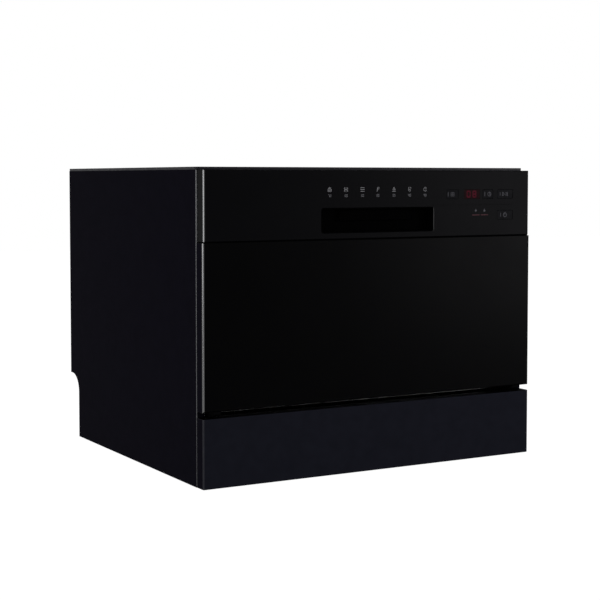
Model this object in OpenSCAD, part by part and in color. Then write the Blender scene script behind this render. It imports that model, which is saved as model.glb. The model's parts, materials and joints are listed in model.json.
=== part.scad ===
// Countertop dishwasher: a black steel cabinet on a moulded base, a drop-down front door
// with a lipped handle pocket, and a stainless tub with one rack and one spray arm.
// Millimetres, +Z up, the door faces -Y. The origin is under the middle of the body.

/* [Cabinet] */
// Overall width
body_w = 550; // [500:1:600]
// Overall depth
body_d = 500; // [470:1:540]
// Overall height
body_h = 438; // [425:1:470]
// Depth of the door and plinth in front of the cabinet
front_t = 20; // [18:0.5:24]
// Thickness of the steel sheets
sheet_t = 1; // [0.8:0.1:1.2]
// Height of the folded rim of the top panel
top_rim = 4; // [3:0.5:6]
// Width of the folded flanges of the side panels
flange_w = 12; // [10:0.5:13]
// Distance of the back panel from the rear edge of the sides
rear_inset = 2; // [2:0.5:4]
// Depth of the recess at the foot of the back
notch_depth = 36.5; // [30:0.5:45]
// Height of the top of that recess
notch_top = 105; // [95:1:112]
// Radius of the recess's inner corner
notch_r = 28; // [15:1:40]
// Radius of the vertical front corners
corner_r = 3; // [1:0.5:4]

/* [Base] */
// Height of the feet under the base
foot_h = 4; // [3:0.5:8]
// Radius of a foot
foot_r = 18; // [12:1:22]
// Distance of a foot's centre from the sides, front and recess
foot_inset = 62; // [45:1:80]
// Wall of the moulded base
base_t = 2.5; // [2:0.1:3.5]
// Height of the side walls of the base
base_wall_h = 56; // [40:1:80]

/* [Front panels] */
// Height of the top of the plinth
plinth_top = 99.7; // [94:0.1:104]
// Gap between the plinth and the door
door_gap = 8.3; // [8:0.1:11]
// Height of the control panel
fascia_h = 96.5; // [90:0.5:110]
// Seam between the control panel and the door panel
seam = 1.5; // [1:0.1:3]
// How much narrower the control panel is on each side
fascia_inset = 1.5; // [0.5:0.1:3]
// Setback of the control panel's face behind the door panel's face
fascia_setback = 0.4; // [0.3:0.1:0.6]
// Wall of the moulded front panels
skin_t = 2.5; // [2:0.1:3]
// Chamfer along the lower edge of the door
door_chamfer = 2; // [1:0.1:2.2]

/* [Handle pocket] */
// Width of the pocket
pocket_w = 190; // [150:1:200]
// Height of the pocket
pocket_h = 35.5; // [30:0.5:40]
// Depth of the pocket
pocket_depth = 16; // [12:0.5:16.5]
// Distance of the pocket's right end from the cabinet's side
pocket_inset = 176.5; // [174:0.5:184]
// Height of the pocket's lower edge over the control panel's lower edge
pocket_rise = 8; // [6:0.5:12]
// Wall of the pocket
pocket_t = 1.8; // [1.5:0.1:2.2]
// Width of the release paddle in the pocket
paddle_w = 120; // [90:1:140]

/* [Keys and display] */
// Height of the key row's middle under the top of the door
key_row_drop = 35; // [32:0.5:38]
// Width of the two large keys
key_w = 28.5; // [26:0.5:31]
// Width of the program key
program_key_w = 20; // [17:0.5:22]
// Width of the delay key
delay_key_w = 19; // [16:0.5:21]
// Height of a key
key_h = 13; // [11:0.5:15]
// Distance of the program key's middle from the cabinet's side
program_key_inset = 143; // [141:0.5:145]
// Distance of the display's middle from the cabinet's side
display_inset = 107.8; // [106:0.1:110]
// Distance of the delay key's middle from the cabinet's side
delay_key_inset = 79; // [78:0.5:80]
// Distance of the start and power keys' middle from the cabinet's side
start_key_inset = 46.6; // [44:0.1:49]
// Drop of the power key under the start key
power_key_drop = 31.2; // [29:0.1:33]
// Travel of a key
key_travel = 1; // [0.6:0.1:1.5]
// Gap round a key
key_gap = 0.3; // [0.2:0.05:0.4]

/* [Hinge] */
// Distance of the hinge axis behind the door's face
hinge_back = 7; // [6.5:0.1:7.2]
// Distance of the hinge axis under the door's lower edge
hinge_drop = 1; // [0.8:0.1:1.1]
// Distance of the hinge arms from the cabinet's side
hinge_inset = 23; // [21:0.5:27]
// Radius of the hinge pin
hinge_pin_r = 2.5; // [2:0.1:2.8]
// Radial clearance of the pin in the arm
pin_clear = 0.05; // [0.03:0.01:0.1]
// Thickness of the hinge arm
arm_t = 4; // [3:0.5:5]

/* [Tub] */
// Space between the cabinet's side and the tub's wall
tub_gap = 35; // [32:1:50]
// Height of the ledges that the rack runs on
ledge_z = 140.5; // [139:0.5:144]
// Space between the cabinet's top and the tub's roof
roof_gap = 22; // [20:1:32]
// Space between the tub and the rear edge of the sides
rear_gap = 55; // [40:1:73]
// Width of the ledge between the tub's wall and the basin
ledge_w = 35; // [30:1:50]
// Height of the basin's floor
basin_z = 118; // [112:0.5:120]
// Radius of the tub's upper long edges
tub_r = 20; // [12:1:30]
// Radius beside the ledges that the rack runs on
ledge_r = 3; // [1:0.5:4]
// Radius of the upright rear corners
tub_corner_r = 25; // [15:1:35]
// Distance of the tub's front flange behind the cabinet's front
tub_setback = 22; // [21:0.5:25]

/* [Door inside] */
// Distance of the door's inner pan from the cabinet's side
pan_inset = 17; // [16:1:22]
// Depth of the pan behind the cabinet's front
pan_depth = 16; // [14:0.5:17]
// Raised middle of the inner door
plateau_h = 4; // [3:0.5:5]
// Gap between the raised middle and the tub's walls
plateau_gap = 4; // [3:0.5:6]

/* [Spray arm and floor fittings] */
// Least room between a tip of the spray arm and the basin's wall
arm_room = 12.5; // [10:0.5:30]
// Thickness of the spray arm's blade
blade_t = 10; // [8:0.5:11]
// Radius of the arm's hub
hub_r = 17; // [15:0.5:20]
// Radius of the hollow post's spigot
spigot_r = 9; // [8:0.5:11]
// Clearance of the turning fits
run_clear = 0.1; // [0.05:0.01:0.1]
// Distance of the filter's middle from the basin's right side
filter_side = 110; // [100:1:120]
// Distance of the filter's middle from the basin's back
filter_rear = 125; // [115:1:135]
// Radius of the filter plate
filter_plate_r = 58; // [50:1:66]
// Radius of the filter cup
filter_cup_r = 23; // [20:0.5:26]
// Distance of the salt container's middle from the basin's left side
salt_side = 85; // [78:1:95]
// Distance of the salt container's middle from the basin's back
salt_rear = 90; // [80:1:100]
// Radius of the salt container's neck
salt_neck_r = 24; // [21:0.5:27]

/* [Rack] */
// Space between the rack's side rails and the tub
rack_gap = 18; // [17:0.5:22]
// Space between the rack and the basin's back
rack_rear_gap = 7; // [4:1:20]
// Height of the rack's rim over its floor
rack_h = 126; // [100:2:140]
// Radius of the thin wires
wire_r = 1.6; // [1.4:0.1:1.8]
// Radius of the rim wire
rim_r = 2.4; // [2:0.1:2.8]
// Spacing of the upright wires
mesh_pitch = 46; // [36:1:56]
// Radius of a rack wheel
wheel_r = 12; // [11:0.5:13]
// Width of a rack wheel
wheel_t = 8; // [6:0.5:8]
// Distance of a wheel's axle from the end of the rack
wheel_inset = 65; // [60:1:75]
// Number of tines in a row
tine_count = 11; // [8:1:11]
// Height of the tines
tine_h = 62; // [45:1:75]

/* [Cup shelf and cutlery basket] */
// Reach of the cup shelf from the side of the rack
shelf_reach = 84; // [60:2:100]
// Length of the cup shelf
shelf_l = 280; // [220:2:290]
// Width of the cutlery basket
cutlery_w = 84; // [70:1:88]
// Length of the cutlery basket
cutlery_l = 192; // [150:2:200]
// Height of the cutlery basket
cutlery_h = 98; // [80:1:105]
// Wall of the cutlery basket
cutlery_t = 2.4; // [2:0.2:3]

/* [Hidden] */
$fn = 48;

// Colours
BLACK_STEEL = [0.09, 0.09, 0.11];
BLACK_GLOSS = [0.05, 0.05, 0.055];
BLACK_PLASTIC = [0.12, 0.12, 0.13];
STAINLESS = [0.72, 0.73, 0.75];
RUBBER = [0.16, 0.16, 0.17];
GREY_PLASTIC = [0.6, 0.62, 0.65];
WHITE_PLASTIC = [0.85, 0.86, 0.87];
COATED_WIRE = [0.62, 0.64, 0.68];
ZINC = [0.66, 0.67, 0.69];
BOARD_GREEN = [0.1, 0.35, 0.2];

// Main planes
half_w = body_w / 2;
front_y = -body_d / 2;
back_y = body_d / 2;
cab_y = front_y + front_t;
recess_y = back_y - notch_depth;
cab_top = body_h - top_rim;
eps = 0.01;
soft = 0.3;
screw_pitch = 95;

// Door
door_z = plinth_top + door_gap;
fascia_z = cab_top - fascia_h;
panel_top = fascia_z - seam;
door_back_y = cab_y - soft;
shell_back_y = door_back_y - sheet_t;
skin_y = front_y + skin_t;
fascia_y = front_y + fascia_setback;
hinge_y = front_y + hinge_back;
hinge_z = door_z - hinge_drop;
hinge_x = half_w - hinge_inset;
knuckle_r = hinge_pin_r + 1.8;
bracket_clear = 0.3;
cheek_t = 3;
hinge_slot = arm_t + 2 * (bracket_clear + cheek_t) + 3;
hinge_leg_y = cab_y + sheet_t + base_t + 0.2;

// Inner pan and gasket
pan_w = body_w - 2 * pan_inset;
tub_w = body_w - 2 * tub_gap;
tub_top = cab_top - roof_gap;
pan_y = cab_y + pan_depth;
pan_z = door_z + 4;
pan_top = cab_top - 4;
plateau_y = pan_y + plateau_h;
plateau_w = tub_w - 2 * plateau_gap;
plateau_z = ledge_z + 5.5;
plateau_top = tub_top - plateau_gap;
tub_y = cab_y + tub_setback;
frame_w = 2 * (half_w - flange_w - sheet_t);
frame_top = cab_top - sheet_t;
apron_z = plinth_top + 0.5;
seal_h = 8;
gasket_gap = 3;
gasket_w = 5;
bulb_r = 2.4;

// Tub
tub_back_y = back_y - rear_gap;
basin_w = tub_w - 2 * ledge_w;
basin_y = tub_y + 18;
basin_back_y = tub_back_y - 10;
basin_l = basin_back_y - basin_y;
basin_r = 30;
arm_x = 0;
arm_y = basin_y + basin_l / 2;
arm_len = min(basin_w, basin_l) - 2 * arm_room;
filter_x = basin_w / 2 - filter_side;
filter_y = basin_back_y - filter_rear;
salt_x = basin_w / 2 - salt_side;
salt_y = basin_back_y - salt_rear;

// Keys
program_key_x = half_w - program_key_inset;
display_x = half_w - display_inset;
delay_key_x = half_w - delay_key_inset;
start_key_x = half_w - start_key_inset;
key_z = cab_top - key_row_drop;
power_key_z = key_z - power_key_drop;
key_face_y = fascia_y + 0.2;
key_flange_t = 1.2;
key_rear_y = skin_y + 3.9;
board_y = skin_y + 6.5;
board_t = 1.6;
board_inset = 171;
board_x = half_w - board_inset;
board_w = 158;
board_h = 68;
display_w = 28.5;
display_h = 14;

// Pocket and latch
pocket_x = half_w - pocket_inset - pocket_w / 2;
pocket_z = fascia_z + pocket_rise;
pocket_top = pocket_z + pocket_h;
pocket_back_y = front_y + pocket_depth;
latch_y = pocket_back_y - 4;
latch_z = pocket_top + 9;
latch_pin_r = 2;
latch_hub_r = 4;
neck_w = 12;
claw_z = frame_top - 10;
claw_t = 3;
tooth_h = 2;
strike_gap = 1.5;
strike_y = pan_y + 0.7;
tooth_y = strike_y + sheet_t + 0.8;
tooth_t = 2.5;
slot_half = 10;

// Dispenser
disp_x = -85;
disp_w = 150;
disp_drop = 196;
disp_z = plateau_top - disp_drop;
disp_plate_h = 160;
disp_plate_t = 2.5;
disp_box_h = 89;
disp_box_d = 26;
disp_edge = 5;
liner_screw_rise = 20;
liner_screw_drop = 28;
disp_face_y = plateau_y + disp_plate_t;
cup_w = 74;
cup_h = 77;
cup_x = disp_x + 11;
cup_z = disp_z + 10;
lid_t = 2.4;
lid_w = cup_w + 8;
lid_h = cup_h + 10;
lid_gap = 0.3;
rinse_x = disp_x + 115;
rinse_z = disp_z + 50;
rinse_r = 13;

// Floor fittings
post_flange_r = 20;
post_flange_t = 3;
hub_z = basin_z + 6;
hub_h = 22;
blade_z = hub_z + 10;
nut_gap = 0.3;
nut_h = 6;
salt_body_r = 46;
salt_cap_z = basin_z + 3.3;
salt_plug_l = 12;
post_tail = 30;
sump_h = 47;

// Rack
floor_rise = 18.5;
rack_floor_z = ledge_z + floor_rise;
long_z = rack_floor_z + 1.75 * wire_r;
rack_w = tub_w - 2 * rack_gap;
rail_x = rack_w / 2;
rack_y = basin_y - 2;
rack_back_y = basin_back_y - rack_rear_gap;
rack_l = rack_back_y - rack_y;
rim_z = rack_floor_z + rack_h;
mid_rail_z = rack_floor_z + rack_h / 2 + 3;
post_step = 1.75 * wire_r;
axle_z = ledge_z + wheel_r + soft;
axle_r = 2;
wheel_x = rail_x + 5.3;
wheel_front_y = rack_y + wheel_inset;
wheel_rear_y = rack_back_y - wheel_inset;
tine_z = long_z + 2 * wire_r;
tine_side = 32;
cutlery_side = 16;
tine_x = -rail_x + tine_side;
tine_pitch = (rail_x - cutlery_side - cutlery_w - tine_side - tine_x) / (tine_count - 1);
shelf_z = rim_z - 23;
shelf_x = -rail_x + 8;
shelf_rod_r = 1.8;
shelf_y = rack_y + rack_l / 2 - shelf_l / 2;
cutlery_x = rail_x - cutlery_side - cutlery_w;
cutlery_y = rack_y + 42;
cutlery_z = long_z + wire_r + soft;

// Services in the rear recess
service_inset = 125;
outlet_pitch = 55;
inlet_x = -half_w + service_inset;
outlet_x = inlet_x + outlet_pitch;
service_z = 62;
thread_r = 13.2;
thread_l = 14.5;
spigot_l = 24;
outlet_tail = 30;
outlet_r = 9.5;
gland_x = half_w - service_inset;
gland_r = 8;

// ---------- helpers ----------

// Evenly spaced places along a length, ends included
function spaced(a, b, pitch) = let (n = max(2, round((b - a) / pitch)))
    [for (i = [0 : n]) a + i * (b - a) / n];

// A box between two corners
module block(a, b) {
    translate(a)
        cube(b - a);
}

// Extrudes a shape drawn in X and Z along +Y
module along_y(y, l) {
    translate([0, y + l, 0])
        rotate([90, 0, 0])
            linear_extrude(l)
                children();
}

// Extrudes a shape drawn in Y and Z along +X
module along_x(x, l) {
    translate([x, 0, 0])
        rotate([90, 0, 90])
            linear_extrude(l)
                children();
}

// A rectangle with round corners, from its lower left corner
module round_rect(x, z, w, h, r) {
    translate([x + r, z])
        square([w - 2 * r, h]);
    translate([x, z + r])
        square([w, h - 2 * r]);
    for (i = [r, w - r], j = [r, h - r])
        translate([x + i, z + j])
            circle(r);
}

// Both sides, left and right
module both_sides() {
    children();
    mirror([1, 0, 0])
        children();
}

// A thin coated wire along each axis
module wire_x(x, y, z, l, r = wire_r) {
    translate([x, y, z])
        rotate([0, 90, 0])
            cylinder(r = r, h = l, $fn = 8);
}
module wire_y(x, y, z, l, r = wire_r) {
    translate([x, y, z])
        rotate([-90, 0, 0])
            cylinder(r = r, h = l, $fn = 8);
}
module wire_z(x, y, z, l, r = wire_r) {
    translate([x, y, z])
        cylinder(r = r, h = l, $fn = 8);
}

// A round bar or hole along X or Y
module bar_x(x, y, z, l, r) {
    translate([x, y, z])
        rotate([0, 90, 0])
            cylinder(r = r, h = l);
}
module bar_y(x, y, z, l, r) {
    translate([x, y, z])
        rotate([-90, 0, 0])
            cylinder(r = r, h = l);
}

// ---------- cabinet ----------

// The recess at the foot of the back, in Y and Z, grown inwards by a wall
module recess_shape(wall) {
    y = recess_y - wall;
    z = notch_top + wall;
    r = notch_r + wall;
    translate([y + r, -1])
        square([notch_depth + 2 * wall, z + 1]);
    translate([y, -1])
        square([notch_depth + 2 * wall, z - r + 1]);
    translate([y + r, z - r])
        circle(r);
}

// The outline of a side panel, in Y and Z
module side_shape() {
    difference() {
        translate([cab_y, foot_h])
            square([back_y - cab_y, cab_top - foot_h]);
        recess_shape(0);
    }
}

function rear_screw_places() = [for (z = spaced(notch_top + 20, cab_top - 18, screw_pitch), s = [-1, 1])
    [s * (half_w - sheet_t - flange_w / 2), z]];

// One side of the cabinet, with flanges folded inwards at the front, the back and the top
module side_panel() {
    x0 = half_w - flange_w;
    x1 = half_w - sheet_t / 2;
    rear_y = back_y - rear_inset - 2 * sheet_t;
    difference() {
        union() {
            along_x(half_w - sheet_t, sheet_t)
                side_shape();
            block([x0, cab_y, foot_h], [x1, cab_y + sheet_t, cab_top]);
            block([x0, rear_y, notch_top], [x1, rear_y + sheet_t, cab_top]);
            block([x0, cab_y, cab_top - sheet_t], [x1, rear_y + sheet_t, cab_top]);
        }
        for (p = rear_screw_places())
            bar_y(p[0], rear_y - 1, p[1], 4, 1.6);
    }
}

module side_panel_left() {
    color(BLACK_STEEL)
        mirror([1, 0, 0])
            side_panel();
}

module side_panel_right() {
    color(BLACK_STEEL)
        side_panel();
}

// Top of the cabinet, with its rim folded down on all sides
module top_panel() {
    d = back_y - cab_y;
    color(BLACK_STEEL)
        translate([0, 0, cab_top])
            difference() {
                linear_extrude(top_rim)
                    round_rect(-half_w, cab_y, body_w, d, corner_r);
                translate([0, 0, -1])
                    linear_extrude(top_rim - sheet_t + 1)
                        round_rect(-half_w + sheet_t, cab_y + sheet_t, body_w - 2 * sheet_t,
                            d - 2 * sheet_t, corner_r - sheet_t / 2);
            }
}

// Back panel between the two sides, with two pressed beads and its screw holes
module rear_panel() {
    y = back_y - rear_inset - sheet_t;
    x = half_w - sheet_t;
    h = cab_top - notch_top - sheet_t;
    bead_w = body_w * 0.62;
    color(BLACK_STEEL)
        difference() {
            union() {
                block([-x, y, notch_top], [x, y + sheet_t, cab_top - eps]);
                for (z = [notch_top + h / 3, notch_top + h * 2 / 3])
                    along_y(y, sheet_t * 2)
                        round_rect(-bead_w / 2, z - 9, bead_w, 18, 8.5);
            }
            for (z = [notch_top + h / 3, notch_top + h * 2 / 3])
                along_y(y - 1, sheet_t + 1)
                    round_rect(-bead_w / 2 + 1, z - 8, bead_w - 2, 16, 7.5);
            for (p = rear_screw_places())
                bar_y(p[0], y - 1, p[1], 4, 1.6);
        }
}

// The screws that hold the back panel to the side panels
module rear_screws() {
    y = back_y - rear_inset;
    color(ZINC)
        for (p = rear_screw_places()) {
            bar_y(p[0], y, p[1], 1.6, 3.4);
            bar_y(p[0], y - 9, p[1], 9 + eps, 1.5);
        }
}

function foot_places() = [for (x = [-1, 1], y = [cab_y + foot_inset, recess_y - foot_inset])
    [x * (half_w - foot_inset), y]];

// Moulded base: floor, walls, the wall of the rear recess, ribs and the bosses for the feet
module base_tray() {
    x = half_w - sheet_t;
    y = cab_y + sheet_t;
    rib_h = 16;
    rib_side = 107;
    rib_end = filter_y - filter_plate_r;
    color(BLACK_PLASTIC)
        difference() {
            union() {
                block([-x, y, foot_h], [x, recess_y, foot_h + base_t]);
                block([-x, y, foot_h], [x, y + base_t, plinth_top - 4]);
                both_sides()
                    block([x - base_t, y, foot_h], [x, recess_y, foot_h + base_wall_h]);
                along_x(-x, 2 * x)
                    intersection() {
                        difference() {
                            recess_shape(base_t);
                            recess_shape(0);
                        }
                        translate([0, foot_h])
                            square([back_y - rear_inset - 2 * sheet_t - eps, notch_top]);
                    }
                for (i = spaced(-half_w + rib_side, half_w - rib_side, 84))
                    translate([i, 0, foot_h])
                        block([-1, y, 1], [1, rib_end, rib_h]);
                for (p = foot_places())
                    translate([p[0], p[1], foot_h])
                        cylinder(r = 11, h = 22);
            }
            for (p = foot_places())
                translate([p[0], p[1], foot_h - 1])
                    cylinder(r = 4, h = 21);
            bar_y(inlet_x, recess_y - 10, service_z, 20, thread_r + 0.3);
            bar_y(outlet_x, recess_y - 10, service_z, 20, outlet_r + 0.3);
            bar_y(gland_x, recess_y - 10, service_z, 20, gland_r);
        }
}

// Outline of the front pieces seen from above, with round front corners
module front_plan(inset, face, back) {
    x = half_w - inset;
    translate([-x, face + corner_r])
        square([2 * x, back - face - corner_r]);
    translate([-x + corner_r, face])
        square([2 * (x - corner_r), back - face]);
    for (i = [-1, 1])
        translate([i * (x - corner_r), face + corner_r])
            circle(corner_r);
}

// Plinth under the door, an open-backed moulding with stiffening ribs
module plinth() {
    rib_side = 65;
    color(BLACK_STEEL)
        difference() {
            translate([0, 0, foot_h])
                linear_extrude(plinth_top - foot_h)
                    front_plan(0, front_y, cab_y);
            difference() {
                block([-half_w + skin_t, skin_y, foot_h + skin_t],
                    [half_w - skin_t, cab_y + 1, plinth_top - skin_t]);
                for (i = spaced(-half_w + rib_side, half_w - rib_side, 105))
                    block([i - 1, skin_y - 1, foot_h], [i + 1, cab_y + 2, plinth_top]);
            }
        }
}

// Four rubber feet on threaded studs
module feet() {
    color(RUBBER)
        for (p = foot_places())
            translate([p[0], p[1], 0]) {
                cylinder(r = foot_r, h = foot_h);
                cylinder(r = 3.95, h = foot_h + 18);
            }
}

// ---------- tub ----------

// The room inside the tub, grown by a wall
module tub_room(wall, front) {
    w = tub_w + 2 * wall;
    intersection() {
        along_y(front, tub_back_y + wall - front)
            intersection() {
                round_rect(-w / 2, ledge_z - 2 * tub_r, w, tub_top - ledge_z + wall + 2 * tub_r,
                    tub_r + wall);
                round_rect(-w / 2, ledge_z - wall, w, tub_top - ledge_z + 2 * tub_r, ledge_r + wall);
            }
        translate([0, 0, ledge_z - wall - 1])
            linear_extrude(tub_top - ledge_z + 2 * wall + 2) {
                translate([-w / 2, front - 1])
                    square([w, tub_back_y - tub_corner_r - front + 1]);
                round_rect(-w / 2, tub_back_y - 4 * tub_corner_r, w, 4 * tub_corner_r + wall,
                    tub_corner_r + wall);
            }
    }
    translate([0, 0, basin_z - wall])
        linear_extrude(ledge_z + basin_r - basin_z + wall)
            round_rect(-basin_w / 2 - wall, basin_y - wall, basin_w + 2 * wall, basin_l + 2 * wall,
                basin_r + wall);
}

// Stainless tub with its front flange and the frame folded forward to the cabinet
module tub() {
    lip_y = cab_y + sheet_t;
    color(STAINLESS)
        difference() {
            union() {
                tub_room(sheet_t, tub_y);
                block([-frame_w / 2, tub_y, apron_z], [frame_w / 2, tub_y + sheet_t, frame_top]);
                both_sides()
                    block([frame_w / 2, lip_y, apron_z],
                        [frame_w / 2 + sheet_t, tub_y + sheet_t, frame_top + sheet_t]);
                block([-frame_w / 2 - eps, lip_y, frame_top],
                    [frame_w / 2 + eps, tub_y + sheet_t, frame_top + sheet_t]);
            }
            tub_room(0, tub_y - 1);
            block([pocket_x - slot_half, tub_y - 1, tub_top + sheet_t + 4],
                [pocket_x + slot_half, tub_y + sheet_t + eps, frame_top - 2]);
            translate([arm_x, arm_y, basin_z - 5])
                cylinder(r = spigot_r + 3.5, h = 10);
            translate([filter_x, filter_y, basin_z - 5])
                cylinder(r = filter_plate_r - 12, h = 10);
            translate([-salt_x, salt_y, basin_z - 5])
                cylinder(r = salt_neck_r, h = 10);
        }
}

// Door seal round the top and the sides of the tub's mouth: a foot strip and a round bulb
module door_gasket() {
    x = tub_w / 2 + gasket_gap;
    z = ledge_z - 12.5;
    top = tub_top + 1;
    bend = tub_r;
    bx = x + gasket_w / 2;
    bz = top + gasket_w / 2;
    by = pan_y + soft + bulb_r;
    foot = tub_y - by - bulb_r * 0.6;
    color(RUBBER) {
        along_y(tub_y - foot, foot)
            difference() {
                round_rect(-x - gasket_w, z - bend, 2 * (x + gasket_w), top + gasket_w - z + bend, bend);
                round_rect(-x, z - 2 * bend, 2 * x, top - z + 2 * bend, bend - gasket_w);
                translate([-body_w, z - 2 * bend])
                    square([2 * body_w, 2 * bend]);
            }
        both_sides() {
            translate([bx, by, z])
                cylinder(r = bulb_r, h = bz - bend - z);
            translate([bx - bend, by, bz - bend])
                rotate([90, 0, 0])
                    rotate_extrude(angle = 90)
                        translate([bend, 0])
                            circle(bulb_r);
        }
        bar_x(-bx + bend, by, bz, 2 * (bx - bend), bulb_r);
    }
}

// Lower lip seal on the apron of the tub
module bottom_seal() {
    z = ledge_z - 12.5;
    color(RUBBER)
        along_x(-tub_w / 2, tub_w)
            polygon([[tub_y, z], [tub_y, z + seal_h], [tub_y - 2, z + seal_h],
                [tub_y - 5.6, z + seal_h + 2.5], [tub_y - 5.6, z + seal_h + 1], [tub_y - 2, z + 2]]);
}

// Catch plate that hangs from the tub's frame, over the latch's claw
module door_strike() {
    color(ZINC) {
        block([pocket_x - 12, strike_y, claw_z + tooth_h + strike_gap + claw_t],
            [pocket_x + 12, strike_y + sheet_t, frame_top]);
        block([pocket_x - 12, strike_y - eps, frame_top - sheet_t],
            [pocket_x + 12, tub_y, frame_top]);
    }
}

// ---------- hinges ----------

// Bracket on the base: two cheeks over the plinth, riveted through by the hinge pin
module hinge_bracket() {
    x = arm_t / 2 + bracket_clear;
    strap_z = plinth_top + 1.2;
    strap_h = hinge_z - 1.5 - strap_z;
    color(ZINC)
        translate([hinge_x, 0, 0]) {
            for (s = [x, -x - cheek_t])
                along_x(s, cheek_t) {
                    translate([hinge_y, hinge_z])
                        circle(knuckle_r);
                    translate([hinge_y, strap_z])
                        square([hinge_leg_y + 4 - hinge_y, strap_h]);
                    translate([hinge_leg_y, foot_h + base_t])
                        square([4, strap_z + strap_h - foot_h - base_t]);
                }
            block([-x - cheek_t, hinge_leg_y, foot_h + base_t],
                [x + cheek_t, hinge_leg_y + 4, foot_h + 50]);
            bar_x(-x - cheek_t - 1, hinge_y, hinge_z, 2 * (x + cheek_t + 1), hinge_pin_r);
        }
}

module hinge_bracket_left() {
    mirror([1, 0, 0])
        hinge_bracket();
}

module hinge_bracket_right() {
    hinge_bracket();
}

// Arm inside the door: a lug on the pin and a plate against the inner pan's rim
module hinge_arm() {
    top = door_z + 80;
    y0 = skin_y + 0.5;
    color(ZINC)
        difference() {
            union() {
                along_x(hinge_x - arm_t / 2, arm_t) {
                    translate([hinge_y, hinge_z])
                        circle(knuckle_r);
                    polygon([[hinge_y - knuckle_r, hinge_z], [hinge_y + knuckle_r, hinge_z],
                        [shell_back_y, hinge_z + 14], [shell_back_y, top],
                        [shell_back_y - 8, top], [hinge_y - knuckle_r, hinge_z + 30]]);
                }
                block([hinge_x - arm_t / 2, shell_back_y - 2, door_z + 20],
                    [half_w - skin_t - 3, shell_back_y, top]);
            }
            bar_x(hinge_x - arm_t, hinge_y, hinge_z, 2 * arm_t, hinge_pin_r + pin_clear);
        }
}

module hinge_arm_left() {
    mirror([1, 0, 0])
        hinge_arm();
}

module hinge_arm_right() {
    hinge_arm();
}

// ---------- door ----------

// Side view of a front piece, with a chamfer along its lower or its upper edge
module door_side(z0, z1, face, low, high) {
    polygon([[face, z0 + low], [face + low, z0], [shell_back_y, z0], [shell_back_y, z1],
        [face + high, z1], [face, z1 - high]]);
}

// Open-backed shell of a front piece
module front_shell(z0, z1, inset, face, low, high) {
    difference() {
        intersection() {
            translate([0, 0, z0])
                linear_extrude(z1 - z0)
                    front_plan(inset, face, shell_back_y);
            along_x(-half_w, body_w)
                door_side(z0, z1, face, low, high);
        }
        block([-half_w + inset + skin_t, skin_y, z0 + skin_t],
            [half_w - inset - skin_t, cab_y + 1, z1 - skin_t]);
    }
}

// Lower door panel, notched at the two hinges
module door_panel() {
    color(BLACK_GLOSS)
        difference() {
            front_shell(door_z, panel_top, 0, front_y, door_chamfer, 0.6);
            both_sides()
                block([hinge_x - hinge_slot / 2, skin_y - 0.3, door_z - 1],
                    [hinge_x + hinge_slot / 2, cab_y + 1, door_z + skin_t + 4]);
        }
}

// The keys: name, middle in X and Z, width
function key_places() = [[program_key_x, key_z, program_key_w], [delay_key_x, key_z, delay_key_w],
    [start_key_x, key_z, key_w], [start_key_x, power_key_z, key_w]];

// Control panel with the openings for the pocket, the keys and the display
module control_panel() {
    boss_d = board_y - skin_y;
    color(BLACK_GLOSS)
        difference() {
            union() {
                front_shell(fascia_z, cab_top, fascia_inset, fascia_y, 0.6, 1);
                for (x = [board_x + 5, board_x + board_w - 5], z = [cab_top - 71, cab_top - 14])
                    bar_y(x, skin_y - 1, z, boss_d + 1, 3);
            }
            along_y(front_y - 1, skin_t + 2)
                round_rect(pocket_x - pocket_w / 2, pocket_z, pocket_w, pocket_h, 4);
            for (k = key_places())
                along_y(front_y - 1, skin_t + 2)
                    round_rect(k[0] - k[2] / 2 - key_gap, k[1] - key_h / 2 - key_gap,
                        k[2] + 2 * key_gap, key_h + 2 * key_gap, 1.5);
            along_y(front_y - 1, skin_t + 2)
                round_rect(display_x - display_w / 2, key_z - display_h / 2, display_w, display_h, 1);
        }
}

// Finger pocket: a lined trough with a slot in its roof for the latch's neck
module handle_pocket() {
    x = pocket_x - pocket_w / 2;
    pocket_y = fascia_y + 0.4;
    color(BLACK_PLASTIC)
        difference() {
            along_y(pocket_y, pocket_back_y - pocket_y)
                round_rect(x, pocket_z, pocket_w, pocket_h, 4);
            along_y(front_y, pocket_depth - pocket_t)
                round_rect(x + pocket_t, pocket_z + pocket_t, pocket_w - 2 * pocket_t,
                    pocket_h - 2 * pocket_t, 2.5);
            block([pocket_x - neck_w / 2 - 1, latch_y - 7, pocket_top - pocket_t - 1],
                [pocket_x + neck_w / 2 + 1, latch_y + 2, pocket_top + 1]);
        }
}

// Smoked lens over the display
module display_window() {
    color(BLACK_GLOSS)
        along_y(fascia_y + 0.1, skin_y - fascia_y - 0.1)
            round_rect(display_x - display_w / 2, key_z - display_h / 2, display_w, display_h, 1);
}

// Circuit board behind the control panel, with the display module and a switch per key
module control_board() {
    switch = 3;
    board_top = cab_top - 9;
    color(BOARD_GREEN) {
        block([board_x, board_y, board_top - board_h],
            [board_x + board_w, board_y + board_t, board_top]);
        block([display_x - 15, skin_y + soft, key_z - 9], [display_x + 15, board_y + eps, key_z + 9]);
        for (k = key_places())
            block([k[0] - switch, key_rear_y + key_travel + soft, k[1] - switch],
                [k[0] + switch, board_y + eps, k[1] + switch]);
    }
}

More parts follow.
